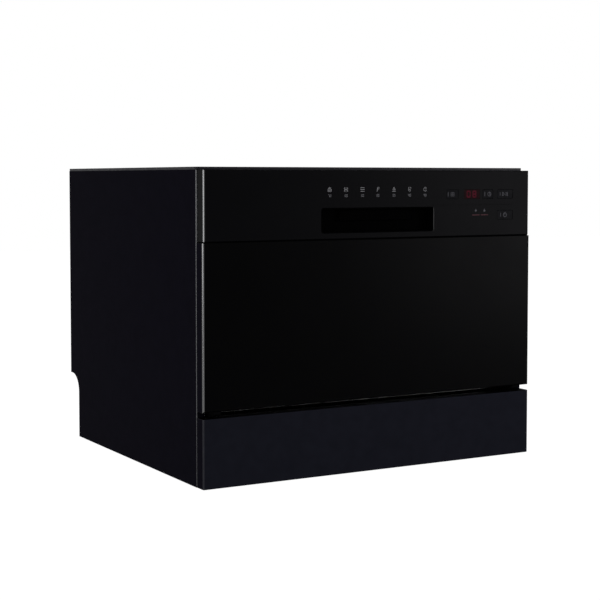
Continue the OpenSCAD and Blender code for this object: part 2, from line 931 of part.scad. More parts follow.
// Inner pan of the door: rim behind the front panels, walls, face and raised middle
module door_liner() {
    rim_x = half_w - 0.5;
    color(STAINLESS)
        difference() {
            union() {
                block([-rim_x, shell_back_y, door_z + 0.5], [rim_x, door_back_y, cab_top - 0.5]);
                block([-pan_w / 2, door_back_y - eps, pan_z], [pan_w / 2, pan_y, pan_top]);
                along_y(pan_y - eps, plateau_h + eps)
                    round_rect(-plateau_w / 2, plateau_z, plateau_w, plateau_top - plateau_z, tub_r - 2);
            }
            block([-pan_w / 2 + sheet_t, shell_back_y - 1, pan_z + sheet_t],
                [pan_w / 2 - sheet_t, pan_y - sheet_t, pan_top - sheet_t]);
            along_y(pan_y - sheet_t - eps, plateau_h)
                round_rect(-plateau_w / 2 + sheet_t, plateau_z + sheet_t, plateau_w - 2 * sheet_t,
                    plateau_top - plateau_z - 2 * sheet_t, tub_r - 3);
            block([disp_x + disp_edge, pan_y - 5, disp_z + disp_edge],
                [disp_x + disp_w - disp_edge, plateau_y + 1, disp_z + disp_edge + disp_box_h]);
            block([pocket_x - slot_half, pan_y - 6, tub_top + 5],
                [pocket_x + slot_half, pan_y + 1, pan_top + 1]);
            for (p = liner_screw_places())
                bar_y(p[0], pan_y - 3, p[1], 4, 1.6);
        }
}

function liner_screw_places() = [
    for (z = spaced(pan_z + liner_screw_rise, pan_top - liner_screw_drop, screw_pitch), s = [-1, 1])
        [s * (pan_w / 2 - 5), z]];

// Screws round the edge of the inner pan
module liner_screws() {
    color(STAINLESS)
        for (p = liner_screw_places()) {
            bar_y(p[0], pan_y, p[1], 1.4, 3);
            bar_y(p[0], pan_y - 8, p[1], 8 + eps, 1.5);
        }
}

// Bracket on the pocket's roof that carries the latch's pin
module latch_bracket() {
    x = neck_w / 2 + 1;
    t = 2;
    color(ZINC)
        translate([pocket_x, 0, 0]) {
            block([-20, latch_y + 2.5, pocket_top], [20, shell_back_y - soft, pocket_top + t]);
            for (s = [x, -x - t])
                along_x(s, t) {
                    translate([latch_y, latch_z])
                        circle(latch_hub_r);
                    polygon([[latch_y - latch_hub_r, latch_z], [latch_y + latch_hub_r, latch_z],
                        [shell_back_y - soft, pocket_top], [latch_y - 2, pocket_top]]);
                }
            bar_x(-x - t, latch_y, latch_z, 2 * (x + t), latch_pin_r);
        }
}

// Latch in one piece: the paddle in the pocket, its neck and hub, and the claw over the pan
module latch_lever() {
    plate_t = 2.5;
    paddle_top = pocket_top - pocket_t - 1;
    paddle_y = latch_y - 3.5;
    claw_end = tooth_y + tooth_t;
    color(BLACK_PLASTIC)
        translate([pocket_x, 0, 0])
            difference() {
                union() {
                    along_x(-paddle_w / 2, paddle_w)
                        round_rect(paddle_y, pocket_z + 17, plate_t, paddle_top - pocket_z - 17, 1);
                    along_x(-neck_w / 2, neck_w) {
                        translate([paddle_y, paddle_top - 5])
                            square([plate_t, latch_z - paddle_top + 5]);
                        translate([latch_y, latch_z])
                            circle(latch_hub_r);
                        translate([latch_y - 2, latch_z])
                            square([4, claw_z + claw_t - latch_z]);
                        translate([latch_y - 2, claw_z])
                            square([claw_end - latch_y + 2, claw_t]);
                        translate([tooth_y, claw_z + claw_t - eps])
                            square([tooth_t, tooth_h]);
                    }
                }
                bar_x(-neck_w, latch_y, latch_z, 2 * neck_w, latch_pin_r + pin_clear);
            }
}

// Detergent and rinse-aid dispenser let into the inner door, with the rails of its lid
module dispenser_body() {
    rail_h = lid_t + 2 * lid_gap + 1.2;
    color(GREY_PLASTIC)
        difference() {
            union() {
                along_y(plateau_y, disp_plate_t)
                    round_rect(disp_x, disp_z, disp_w, disp_plate_h, 8);
                block([disp_x + disp_edge, disp_face_y - disp_box_d, disp_z + disp_edge],
                    [disp_x + disp_w - disp_edge, plateau_y + eps, disp_z + disp_edge + disp_box_h]);
                for (x = [cup_x - 8.5, cup_x + cup_w + 4.5])
                    block([x, disp_face_y - eps, disp_z + 4],
                        [x + 4, disp_face_y + rail_h, disp_z + disp_plate_h - 6]);
                for (x = [cup_x - 8.5, cup_x + cup_w + 1.5])
                    block([x, disp_face_y + rail_h - 1.2, disp_z + 4],
                        [x + 7, disp_face_y + rail_h, disp_z + disp_plate_h - 6]);
            }
            along_y(disp_face_y - disp_box_d + 2, disp_box_d)
                round_rect(cup_x, cup_z, cup_w, cup_h, 8);
            bar_y(rinse_x, disp_face_y - 6, rinse_z, 8, rinse_r + soft);
            bar_y(rinse_x, disp_face_y - 16, rinse_z, 12, 7);
        }
}

// Sliding lid of the detergent cup, with a finger rib
module dispenser_lid() {
    x = cup_x - (lid_w - cup_w) / 2;
    y = disp_face_y + lid_gap;
    z = cup_z - 5;
    color(WHITE_PLASTIC) {
        along_y(y, lid_t)
            round_rect(x, z, lid_w, lid_h, 3);
        along_y(y + lid_t - eps, 3)
            round_rect(x + 14, z + 10, lid_w - 28, 5, 1.5);
        along_y(y + lid_t - eps, 1)
            round_rect(x + 12, z + 24, lid_w - 24, lid_h - 34, 6);
    }
}

// Quarter-turn cap of the rinse-aid tank
module rinse_aid_cap() {
    y = disp_face_y - 5.7;
    color(BLACK_PLASTIC)
        difference() {
            union() {
                bar_y(rinse_x, y, rinse_z, 7, rinse_r);
                bar_y(rinse_x, y - 8, rinse_z, 8 + eps, 6.7);
                along_y(y + 7 - eps, 3)
                    round_rect(rinse_x - 2.2, rinse_z - rinse_r + 2, 4.4, 2 * rinse_r - 4, 2);
            }
            for (a = [45 : 90 : 315])
                bar_y(rinse_x + 8.5 * cos(a), y + 5.5, rinse_z + 8.5 * sin(a), 3, 2);
        }
}

// A push key with the flange that keeps it behind the panel
module push_key(x, z, w) {
    color(BLACK_GLOSS) {
        along_y(key_face_y, skin_y + key_gap - key_face_y + eps)
            round_rect(x - w / 2, z - key_h / 2, w, key_h, 1.2);
        along_y(skin_y + key_gap, key_flange_t)
            round_rect(x - w / 2 - 1, z - key_h / 2 - 1, w + 2, key_h + 2, 1.2);
        along_y(skin_y + key_gap, key_rear_y - skin_y - key_gap)
            round_rect(x - 4, z - 4, 8, 8, 1);
    }
}

module program_key() {
    push_key(program_key_x, key_z, program_key_w);
}

module delay_key() {
    push_key(delay_key_x, key_z, delay_key_w);
}

module start_key() {
    push_key(start_key_x, key_z, key_w);
}

module power_key() {
    push_key(start_key_x, power_key_z, key_w);
}

// ---------- water parts ----------

// Sump cup under the basin, with the stubs for the two pumps
module sump() {
    r = filter_plate_r - 10;
    z = basin_z - sheet_t - sump_h;
    color(BLACK_PLASTIC)
        translate([filter_x, filter_y, z])
            difference() {
                union() {
                    cylinder(r = r, h = sump_h);
                    translate([-r - 10, 0, 18])
                        rotate([0, 90, 0])
                            cylinder(r = 14, h = r);
                    translate([0, r - 10, 16])
                        rotate([-90, 0, 0])
                            cylinder(r = 12, h = 20);
                    translate([0, 0, sump_h - 2.5])
                        cylinder(r = r + 6, h = 2.5);
                }
                translate([0, 0, 2.5])
                    cylinder(r = r - 2.5, h = sump_h);
                translate([-r - 11, 0, 18])
                    rotate([0, 90, 0])
                        cylinder(r = 11.5, h = r);
                translate([0, r - 11, 16])
                    rotate([-90, 0, 0])
                        cylinder(r = 9.5, h = 22);
            }
}

// Flat stainless filter in the basin, with rings of slots round the cup's mouth
module filter_plate() {
    color(STAINLESS)
        translate([filter_x, filter_y, basin_z])
            difference() {
                cylinder(r = filter_plate_r, h = 1.2);
                translate([0, 0, -1])
                    cylinder(r = filter_cup_r + 0.4, h = 4);
                for (a = [0 : 20 : 340])
                    rotate([0, 0, a])
                        translate([filter_cup_r + 6, -1.5, -1])
                            cube([filter_plate_r - filter_cup_r - 18, 3, 4]);
            }
}

// Lift-out filter cup: slotted wall, closed bottom, flange and a bow grip
module filter_cup() {
    h = 40;
    slots = 16;
    color(GREY_PLASTIC)
        translate([filter_x, filter_y, basin_z - h]) {
            difference() {
                cylinder(r = filter_cup_r, h = h + 3);
                translate([0, 0, 2])
                    cylinder(r = filter_cup_r - 2, h = h + 4);
                for (i = [0 : slots - 1])
                    rotate([0, 0, i * 360 / slots])
                        translate([filter_cup_r - 5, -1.6, 6])
                            cube([8, 3.2, h - 14]);
            }
            difference() {
                translate([0, 0, h + 1.5])
                    cylinder(r = filter_cup_r + 4, h = 1.8);
                translate([0, 0, h])
                    cylinder(r = filter_cup_r - 2, h = 5);
            }
            difference() {
                translate([-filter_cup_r + 0.5, -2, h - 6])
                    cube([2 * filter_cup_r - 1, 4, 18]);
                translate([-filter_cup_r + 6, -3, h - 7])
                    cube([2 * filter_cup_r - 12, 6, 14]);
            }
        }
}

// Salt container under the floor, with its threaded neck in the basin
module salt_container() {
    leg_h = 18;
    neck_h = 22;
    wall = 3;
    h = basin_z - foot_h - base_t - neck_h;
    color(WHITE_PLASTIC)
        translate([-salt_x, salt_y, foot_h + base_t])
            difference() {
                union() {
                    translate([0, 0, leg_h])
                        cylinder(r = salt_body_r, h = h - leg_h);
                    for (a = [45 : 90 : 315])
                        rotate([0, 0, a])
                            translate([salt_body_r - 12, 0, 0])
                                cylinder(r = 6, h = leg_h + 2);
                    cylinder(r = salt_neck_r, h = basin_z + 3 - foot_h - base_t);
                }
                translate([0, 0, leg_h + wall])
                    cylinder(r = salt_body_r - wall, h = h - leg_h - 2 * wall);
                translate([0, 0, leg_h + wall])
                    cylinder(r = salt_neck_r - 4.7, h = basin_z);
            }
}

// Screw cap of the salt container with a bar grip
module salt_cap() {
    plug_r = salt_neck_r - 5;
    color(GREY_PLASTIC)
        translate([-salt_x, salt_y, salt_cap_z]) {
            translate([0, 0, -salt_plug_l])
                cylinder(r = plug_r, h = salt_plug_l + eps);
            difference() {
                cylinder(r = salt_neck_r + 1, h = 6);
                for (a = [0 : 30 : 330])
                    rotate([0, 0, a])
                        translate([salt_neck_r + 2, 0, -1])
                            cylinder(r = 2.4, h = 8, $fn = 16);
            }
            translate([-salt_neck_r + 5, -2.5, 6 - eps])
                cube([2 * salt_neck_r - 10, 5, 3]);
        }
}

// Hollow post that feeds and carries the spray arm
module spray_arm_post() {
    color(GREY_PLASTIC)
        translate([arm_x, arm_y, 0])
            difference() {
                union() {
                    translate([0, 0, basin_z])
                        cylinder(r = post_flange_r, h = post_flange_t);
                    translate([0, 0, basin_z - post_tail])
                        cylinder(r = spigot_r + 3, h = post_tail + post_flange_t);
                    translate([0, 0, basin_z])
                        cylinder(r = spigot_r, h = hub_z + hub_h - basin_z);
                }
                translate([0, 0, basin_z - 31])
                    cylinder(r = 5, h = 80);
            }
}

// Spray arm: two tapered blades on a hub, with slotted nozzles along the top
module spray_arm() {
    tip_r = 13;
    reach = arm_len / 2 - tip_r;
    root = 15;
    color(GREY_PLASTIC)
        translate([arm_x, arm_y, 0])
            difference() {
                union() {
                    translate([0, 0, blade_z])
                        linear_extrude(blade_t) {
                            circle(hub_r + 3);
                            polygon([[-reach, -tip_r], [0, -root], [reach, -tip_r],
                                [reach, tip_r], [0, root], [-reach, tip_r]]);
                            for (s = [-1, 1])
                                translate([s * reach, 0])
                                    circle(tip_r);
                        }
                    translate([0, 0, hub_z])
                        cylinder(r = hub_r, h = hub_h);
                    for (s = [-1, 1], d = [0.3 : 0.22 : 0.96])
                        translate([s * d * reach, s * 2, blade_z + blade_t - eps])
                            cylinder(r = 5.5, h = 1.6);
                    translate([0, 0, blade_z + blade_t - eps])
                        linear_extrude(0.8)
                            polygon([[-reach * 0.95, 6.5], [reach * 0.95, 6.5],
                                [reach * 0.95, 8.5], [-reach * 0.95, 8.5]]);
                }
                translate([0, 0, hub_z - 1])
                    cylinder(r = spigot_r + run_clear, h = hub_h + 4);
                for (s = [-1, 1], d = [0.3 : 0.22 : 0.96])
                    translate([s * d * reach, s * 2, blade_z + blade_t - 2])
                        rotate([0, 0, 35])
                            translate([-4, -0.8, 0])
                                cube([8, 1.6, 6]);
            }
}

// Nut that holds the spray arm on its post
module spray_arm_nut() {
    z = hub_z + hub_h + nut_gap;
    color(BLACK_PLASTIC)
        translate([arm_x, arm_y, z]) {
            difference() {
                cylinder(r = hub_r - 3, h = nut_h);
                for (a = [0 : 45 : 315])
                    rotate([0, 0, a])
                        translate([hub_r - 2.4, 0, -1])
                            cylinder(r = 1.8, h = nut_h + 2, $fn = 16);
            }
            translate([0, 0, -14])
                cylinder(r = 5, h = 14 + eps);
        }
}

// Wash pump beside the sump: volute, motor body and its foot on the base
module circulation_pump() {
    volute_l = 26;
    neck_l = 14;
    motor_r = 26;
    foot_w = 8;
    salt_room = 5;
    z = basin_z - sheet_t - sump_h + 18;
    r = filter_plate_r - 10;
    x1 = filter_x - r - 10;
    motor_x = salt_body_r - salt_x + salt_room;
    motor_l = x1 - volute_l - neck_l - motor_x;
    color(GREY_PLASTIC) {
        bar_x(x1 - volute_l, filter_y, z, volute_l, motor_r + 2);
        bar_x(x1 - volute_l - neck_l, filter_y, z, neck_l + eps, motor_r * 0.7);
        bar_x(motor_x, filter_y, z, motor_l + eps, motor_r);
        for (x = [motor_x + foot_w, motor_x + motor_l - 2 * foot_w])
            block([x, filter_y - 20, foot_h + base_t], [x + foot_w, filter_y + 20, z - 15]);
    }
}

// Drain pump behind the sump, with its foot on the base
module drain_pump() {
    volute_l = 16;
    motor_l = 44;
    motor_r = 20;
    foot_w = 18;
    z = basin_z - sheet_t - sump_h + 16;
    y = filter_y + filter_plate_r;
    color(BLACK_PLASTIC) {
        bar_y(filter_x, y, z, volute_l, motor_r + 4);
        bar_y(filter_x, y + volute_l - eps, z, motor_l, motor_r);
        block([filter_x - foot_w / 2, y + volute_l + 4, foot_h + base_t],
            [filter_x + foot_w / 2, y + motor_l - volute_l + 4, z - motor_r * 0.75]);
    }
}

// Water inlet valve in the rear recess, with its threaded nozzle
module inlet_valve() {
    body_r = 18;
    body_l = 34;
    inside_y = recess_y - base_t;
    color(WHITE_PLASTIC)
        difference() {
            union() {
                bar_y(inlet_x, inside_y - 8, service_z, 8 + base_t + thread_l, thread_r);
                block([inlet_x - body_r, inside_y - body_l, service_z - body_r],
                    [inlet_x + body_r, inside_y, service_z + body_r]);
                bar_y(inlet_x, recess_y, service_z, 2, thread_r + 1.6);
            }
            bar_y(inlet_x, recess_y - 6, service_z, thread_l + 10, 9);
        }
}

// Drain outlet in the rear recess, a spigot with hose barbs
module drain_outlet() {
    inside_y = recess_y - base_t;
    color(BLACK_PLASTIC)
        difference() {
            union() {
                bar_y(outlet_x, inside_y - outlet_tail, service_z,
                    outlet_tail + base_t + spigot_l, outlet_r);
                bar_y(outlet_x, inside_y - 5, service_z, 5, outlet_r + 5);
                bar_y(outlet_x, recess_y, service_z, 2, outlet_r + 4);
            }
            bar_y(outlet_x, inside_y - 31, service_z, 70, outlet_r - 2.2);
        }
}

// Bush in the rear recess that the mains lead would pass
module cord_gland() {
    inside_y = recess_y - base_t;
    color(BLACK_PLASTIC)
        difference() {
            union() {
                bar_y(gland_x, inside_y - 3, service_z, base_t + 3, gland_r);
                bar_y(gland_x, recess_y, service_z, 4, gland_r + 3);
                bar_y(gland_x, inside_y - 5, service_z, 5, gland_r + 2);
            }
            bar_y(gland_x, inside_y - 6, service_z, 20, 4);
        }
}

// Flat water chamber between the tub and the left side, with its pressed channels
module air_break() {
    t = 18;
    l = 180;
    h = 210;
    edge = 16;
    x = -tub_w / 2 - sheet_t;
    y = tub_back_y - 55 - l;
    z = tub_top - 32 - h;
    color(WHITE_PLASTIC)
        difference() {
            along_x(x - t, t)
                round_rect(y, z, l, h, edge);
            for (channel = spaced(z + 22, z + h - 50, 46))
                along_x(x - t - 1, 4)
                    round_rect(y + edge, channel, l - 2 * edge, 26, 12);
        }
}

// ---------- rack ----------

// Welded floor of the rack: cross wires under lengthwise wires
module rack_floor() {
    color(COATED_WIRE) {
        for (y = spaced(rack_y + 10, rack_back_y - 10, mesh_pitch * 0.8))
            wire_x(-rail_x + wire_r, y, rack_floor_z, rack_w - 2 * wire_r);
        for (x = spaced(-rail_x + 8, rail_x - 8, mesh_pitch))
            wire_y(x, rack_y + wire_r, long_z, rack_l - 2 * wire_r);
    }
}

// Front or back grille: rim, middle and bottom rails with upright wires on the outside
module end_grille(y, out) {
    for (p = [[rim_z, rim_r], [mid_rail_z, wire_r], [rack_floor_z, wire_r]])
        wire_x(-rail_x + rim_r, y, p[0], rack_w - 2 * rim_r, p[1]);
    for (x = spaced(-rail_x + 20, rail_x - 20, mesh_pitch))
        wire_z(x, y + out * post_step, rack_floor_z - wire_r, rack_h + wire_r);
}

module rack_front() {
    grip_w = 110;
    color(COATED_WIRE) {
        end_grille(rack_y, -1);
        difference() {
            along_y(rack_y - 5.5, 4.5)
                round_rect(-grip_w / 2, rim_z - 32, grip_w, 33, 8);
            along_y(rack_y - 6.5, 6.5)
                round_rect(-grip_w / 2 + 14, rim_z - 24, grip_w - 28, 15, 7);
        }
    }
}

module rack_back() {
    color(COATED_WIRE)
        end_grille(rack_back_y, 1);
}

// Side grille with the plates and stub axles of its two wheels
module side_grille() {
    axle_end = wheel_x + wheel_t + 0.3;
    for (p = [[rim_z, rim_r], [mid_rail_z, wire_r], [rack_floor_z, wire_r]])
        wire_y(rail_x, rack_y, p[0], rack_l, p[1]);
    for (y = spaced(rack_y + 18, rack_back_y - 18, mesh_pitch))
        wire_z(rail_x + post_step, y, rack_floor_z - wire_r, rack_h + wire_r);
    for (y = [wheel_front_y, wheel_rear_y]) {
        along_x(rail_x + 1, 3.6) {
            translate([y, axle_z])
                circle(6);
            translate([y - 6, axle_z])
                square([12, rack_floor_z + 4 - axle_z]);
        }
        bar_x(rail_x + 1, y, axle_z, axle_end - rail_x - 1 + 1.4, axle_r);
        bar_x(axle_end, y, axle_z, 1.4, axle_r + 1.6);
    }
}

module rack_right() {
    color(COATED_WIRE)
        side_grille();
}

// The left side also carries the two clips of the cup shelf
module rack_left() {
    clip = 3;
    color(COATED_WIRE) {
        mirror([1, 0, 0])
            side_grille();
        for (y = [shelf_y - 4 - clip, shelf_y + shelf_l + 4])
            difference() {
                union() {
                    block([-rail_x - post_step, y, shelf_z - 5], [shelf_x, y + clip, shelf_z + 5]);
                    bar_y(shelf_x, y, shelf_z, clip, 5);
                    block([-rail_x - post_step, y, shelf_z - 5], [-rail_x + 1, y + clip, rim_z]);
                }
                bar_y(shelf_x, y - 1, shelf_z, clip + 2, shelf_rod_r + run_clear);
            }
    }
}

// A row of plate tines on its rail
module tine_row(y) {
    tip_r = wire_r + 0.5;
    color(COATED_WIRE) {
        wire_x(tine_x - 8, y, tine_z, (tine_count - 1) * tine_pitch + 16);
        for (i = [0 : tine_count - 1]) {
            wire_z(tine_x + i * tine_pitch, y, tine_z, tine_h);
            wire_z(tine_x + i * tine_pitch, y, tine_z + tine_h - 7, 7, tip_r);
        }
    }
}

module tine_row_front() {
    tine_row(rack_y + rack_l * 0.36);
}

module tine_row_back() {
    tine_row(rack_y + rack_l * 0.64);
}

// Rack wheel with a rounded tread and a recessed web
module rack_wheel(side, y) {
    lip = 1.2;
    color(GREY_PLASTIC)
        translate([side * wheel_x, y, axle_z])
            rotate([0, side * 90, 0])
                rotate_extrude()
                    polygon([[axle_r + run_clear / 2, 0], [axle_r + 2.4, 0], [axle_r + 2.8, 1.6],
                        [wheel_r - 3.4, 1.6], [wheel_r - 3, 0], [wheel_r - lip, 0], [wheel_r, lip],
                        [wheel_r, wheel_t - lip], [wheel_r - lip, wheel_t], [wheel_r - 3, wheel_t],
                        [wheel_r - 3.4, wheel_t - 1.6], [axle_r + 2.8, wheel_t - 1.6],
                        [axle_r + 2.4, wheel_t], [axle_r + run_clear / 2, wheel_t]]);
}

module wheel_front_left() {
    rack_wheel(-1, wheel_front_y);
}

module wheel_front_right() {
    rack_wheel(1, wheel_front_y);
}

module wheel_rear_left() {
    rack_wheel(-1, wheel_rear_y);
}

module wheel_rear_right() {
    rack_wheel(1, wheel_rear_y);
}

// Fold-up cup shelf on a rod along the left side of the rack
module cup_shelf() {
    x1 = shelf_x + shelf_reach;
    color(COATED_WIRE) {
        bar_y(shelf_x, shelf_y - 8, shelf_z, shelf_l + 16, shelf_rod_r);
        wire_y(x1, shelf_y, shelf_z, shelf_l, wire_r + 0.4);
        wire_y(shelf_x + shelf_reach / 2, shelf_y, shelf_z, shelf_l, wire_r);
        for (y = spaced(shelf_y + wire_r, shelf_y + shelf_l - wire_r, 31))
            wire_x(shelf_x, y, shelf_z, shelf_reach, wire_r - 0.2);
    }
}

// Cutlery basket: three open compartments with slotted walls and a bow handle
module cutlery_basket() {
    x = cutlery_x;
    y = cutlery_y;
    z = cutlery_z;
    t = cutlery_t;
    cell = (cutlery_l - 4 * t) / 3;
    slot = 7;
    color(GREY_PLASTIC) {
        difference() {
            block([x, y, z], [x + cutlery_w, y + cutlery_l, z + cutlery_h]);
            for (i = [0 : 2])
                block([x + t, y + t + i * (cell + t), z + t],
                    [x + cutlery_w - t, y + (i + 1) * (cell + t), z + cutlery_h + 1]);
            for (i = [0 : 2], s = [0 : 2])
                block([x - 1, y + t + i * (cell + t) + (s + 0.5) * cell / 3 - slot / 2, z + 14],
                    [x + cutlery_w + 1, y + t + i * (cell + t) + (s + 0.5) * cell / 3 + slot / 2,
                    z + cutlery_h - 16]);
            for (s = [0 : 3])
                block([x + t + (s + 0.5) * (cutlery_w - 2 * t) / 4 - slot / 2, y - 1, z + 14],
                    [x + t + (s + 0.5) * (cutlery_w - 2 * t) / 4 + slot / 2, y + t + 1,
                    z + cutlery_h - 16]);
        }
        difference() {
            along_x(x + cutlery_w / 2 - 3, 6)
                round_rect(y + t + cell, z + cutlery_h - 20, cell + 2 * t, 44, 8);
            along_x(x + cutlery_w / 2 - 4, 8)
                round_rect(y + 2 * t + cell + 3, z + cutlery_h - 30, cell - 6, 49, 5);
        }
    }
}

side_panel_left();
side_panel_right();
top_panel();
rear_panel();
rear_screws();
base_tray();
plinth();
feet();
tub();
door_gasket();
bottom_seal();
door_strike();
hinge_bracket_left();
hinge_bracket_right();
sump();
filter_plate();
filter_cup();
salt_container();
salt_cap();
spray_arm_post();
spray_arm();
spray_arm_nut();
circulation_pump();
drain_pump();
inlet_valve();
drain_outlet();
cord_gland();
air_break();
door_panel();
control_panel();
handle_pocket();
display_window();
control_board();
door_liner();
liner_screws();
hinge_arm_left();
hinge_arm_right();
latch_bracket();
latch_lever();
dispenser_body();
dispenser_lid();
rinse_aid_cap();
program_key();
delay_key();
start_key();
power_key();
rack_floor();
rack_front();
rack_back();
rack_left();
rack_right();
tine_row_front();
tine_row_back();
wheel_front_left();
wheel_front_right();
wheel_rear_left();
wheel_rear_right();
cup_shelf();
cutlery_basket();
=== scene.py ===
"""Dressed model of a black countertop dishwasher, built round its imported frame.

Each sub-assembly is a class that holds its sizes and makes its pieces with bmesh.  Sizes are in
millimetres, in the frame's own axes: +Z up and the door facing -Y.  The workshop turns them
into metres when it hands a piece to the frame.
"""

from __future__ import annotations

import json
import logging
import math
from dataclasses import dataclass, field
from enum import Enum
from functools import partial
from typing import Any, Callable, Iterable, Sequence

import bmesh
import bpy
from mathutils import Matrix, Vector

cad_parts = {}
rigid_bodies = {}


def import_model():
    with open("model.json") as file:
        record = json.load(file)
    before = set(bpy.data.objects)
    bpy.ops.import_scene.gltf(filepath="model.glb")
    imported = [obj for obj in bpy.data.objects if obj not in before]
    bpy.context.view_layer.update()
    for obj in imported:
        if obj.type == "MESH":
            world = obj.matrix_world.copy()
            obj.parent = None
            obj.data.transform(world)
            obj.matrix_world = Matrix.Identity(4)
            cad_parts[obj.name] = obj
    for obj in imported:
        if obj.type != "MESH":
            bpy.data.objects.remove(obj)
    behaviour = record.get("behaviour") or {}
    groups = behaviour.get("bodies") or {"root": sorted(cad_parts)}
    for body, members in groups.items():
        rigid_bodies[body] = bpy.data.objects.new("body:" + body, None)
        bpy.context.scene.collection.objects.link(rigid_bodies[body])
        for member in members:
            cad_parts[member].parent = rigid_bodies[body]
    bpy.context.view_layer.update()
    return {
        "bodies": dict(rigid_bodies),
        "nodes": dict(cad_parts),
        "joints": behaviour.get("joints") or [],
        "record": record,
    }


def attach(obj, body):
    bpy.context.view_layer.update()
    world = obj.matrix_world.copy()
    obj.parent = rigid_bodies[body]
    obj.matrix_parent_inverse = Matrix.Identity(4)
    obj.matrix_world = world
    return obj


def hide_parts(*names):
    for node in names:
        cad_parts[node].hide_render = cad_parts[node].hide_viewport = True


LOG = logging.getLogger("dishwasher")
Point = tuple[float, float, float]
Place = tuple[float, float]
Mesh = bmesh.types.BMesh
Socket = bpy.types.NodeSocket
Face = bpy.types.MeshPolygon
FaceTest = Callable[[Face], bool]

METRE = 0.001
WELD_MM = 0.0005
WELD_M = 2e-6
FLAT_DEGREES = 0.4

# Patterns of a finish: size in grains, least size in millimetres, octaves, span of the noise.
DRIFT_GRAINS, DRIFT_LEAST, DRIFT_DETAIL, DRIFT_SPAN = 12.0, 6.0, 4.0, (0.32, 0.68)
SPREAD_GRAINS, SPREAD_LEAST, SPREAD_DETAIL, SPREAD_SPAN = 5.0, 3.0, 3.0, (0.3, 0.7)
RELIEF_DETAIL, RELIEF_STRENGTH = 2.0, 0.35
LEAST_ROUGHNESS = 0.02

# Faces with painted highlights and painted shade: limits of their normals, then places in metres.
SIDEWAYS = 0.97
SLANT_X, SLANT_Y = 0.25, 0.1
UPWARD = 0.3
LEFT_CORNER_X = -0.25
POCKET_RIGHT_X = 0.11
FLANGE_END_X = 0.2734

# Outer folds of a panel, in metres; steps across them; degrees over the sharpest round edge.
LONG_EDGE = 0.1
SAME_PLACE = 1e-5
FOLD_STEPS = 4
SMOOTH_OVER = 6.0


# ---------------- finishes


class Surface(Enum):
    """What the fine relief of a finish looks like: stretch of its pattern along X, Y and Z.

    Members of equal value would be one member, so MOULDED differs from SPRAYED by a trifle.
    """

    SPRAYED = (1.0, 1.0, 1.0)
    MOULDED = (1.0, 1.0, 1.001)
    BRUSHED_ACROSS = (0.04, 1.0, 1.0)
    DRAWN = (1.0, 1.0, 0.6)


@dataclass
class Graph:
    """The nodes of a material or of the world, with "_" for a blank in an input's name."""

    tree: bpy.types.NodeTree
    place: Socket | None = None

    @staticmethod
    def feed(node: bpy.types.Node, **values: Any) -> bpy.types.Node:
        """Sets inputs of a node.

        Args:
            node: The node.
            **values: The values by the inputs' names.

        Returns:
            The node.
        """
        for name, value in values.items():
            node.inputs[name.replace("_", " ")].default_value = value
        return node

    def add(self, kind: str, **values: Any) -> bpy.types.Node:
        """Adds a node.

        Args:
            kind: Its type, without the "ShaderNode" that all begin with.
            **values: The values of its inputs.

        Returns:
            The node.
        """
        return self.feed(self.tree.nodes.new(f"ShaderNode{kind}"), **values)

    def link(self, source: Socket, node: bpy.types.Node, entry: str | int) -> None:
        """Links an output to an input.

        Args:
            source: The output.
            node: The node that has the input.
            entry: The input's name or number.
        """
        self.tree.links.new(source, node.inputs[entry])

    def noise(self, size: float, detail: float) -> Socket:
        """Adds a noise over the place.

        Args:
            size: Size of a feature in millimetres.
            detail: Octaves of the noise.

        Returns:
            The noise's value.
        """
        noise = self.add("TexNoise", Scale=1.0 / (size * METRE), Detail=detail)
        self.link(self.place, noise, "Vector")
        return noise.outputs["Fac"]


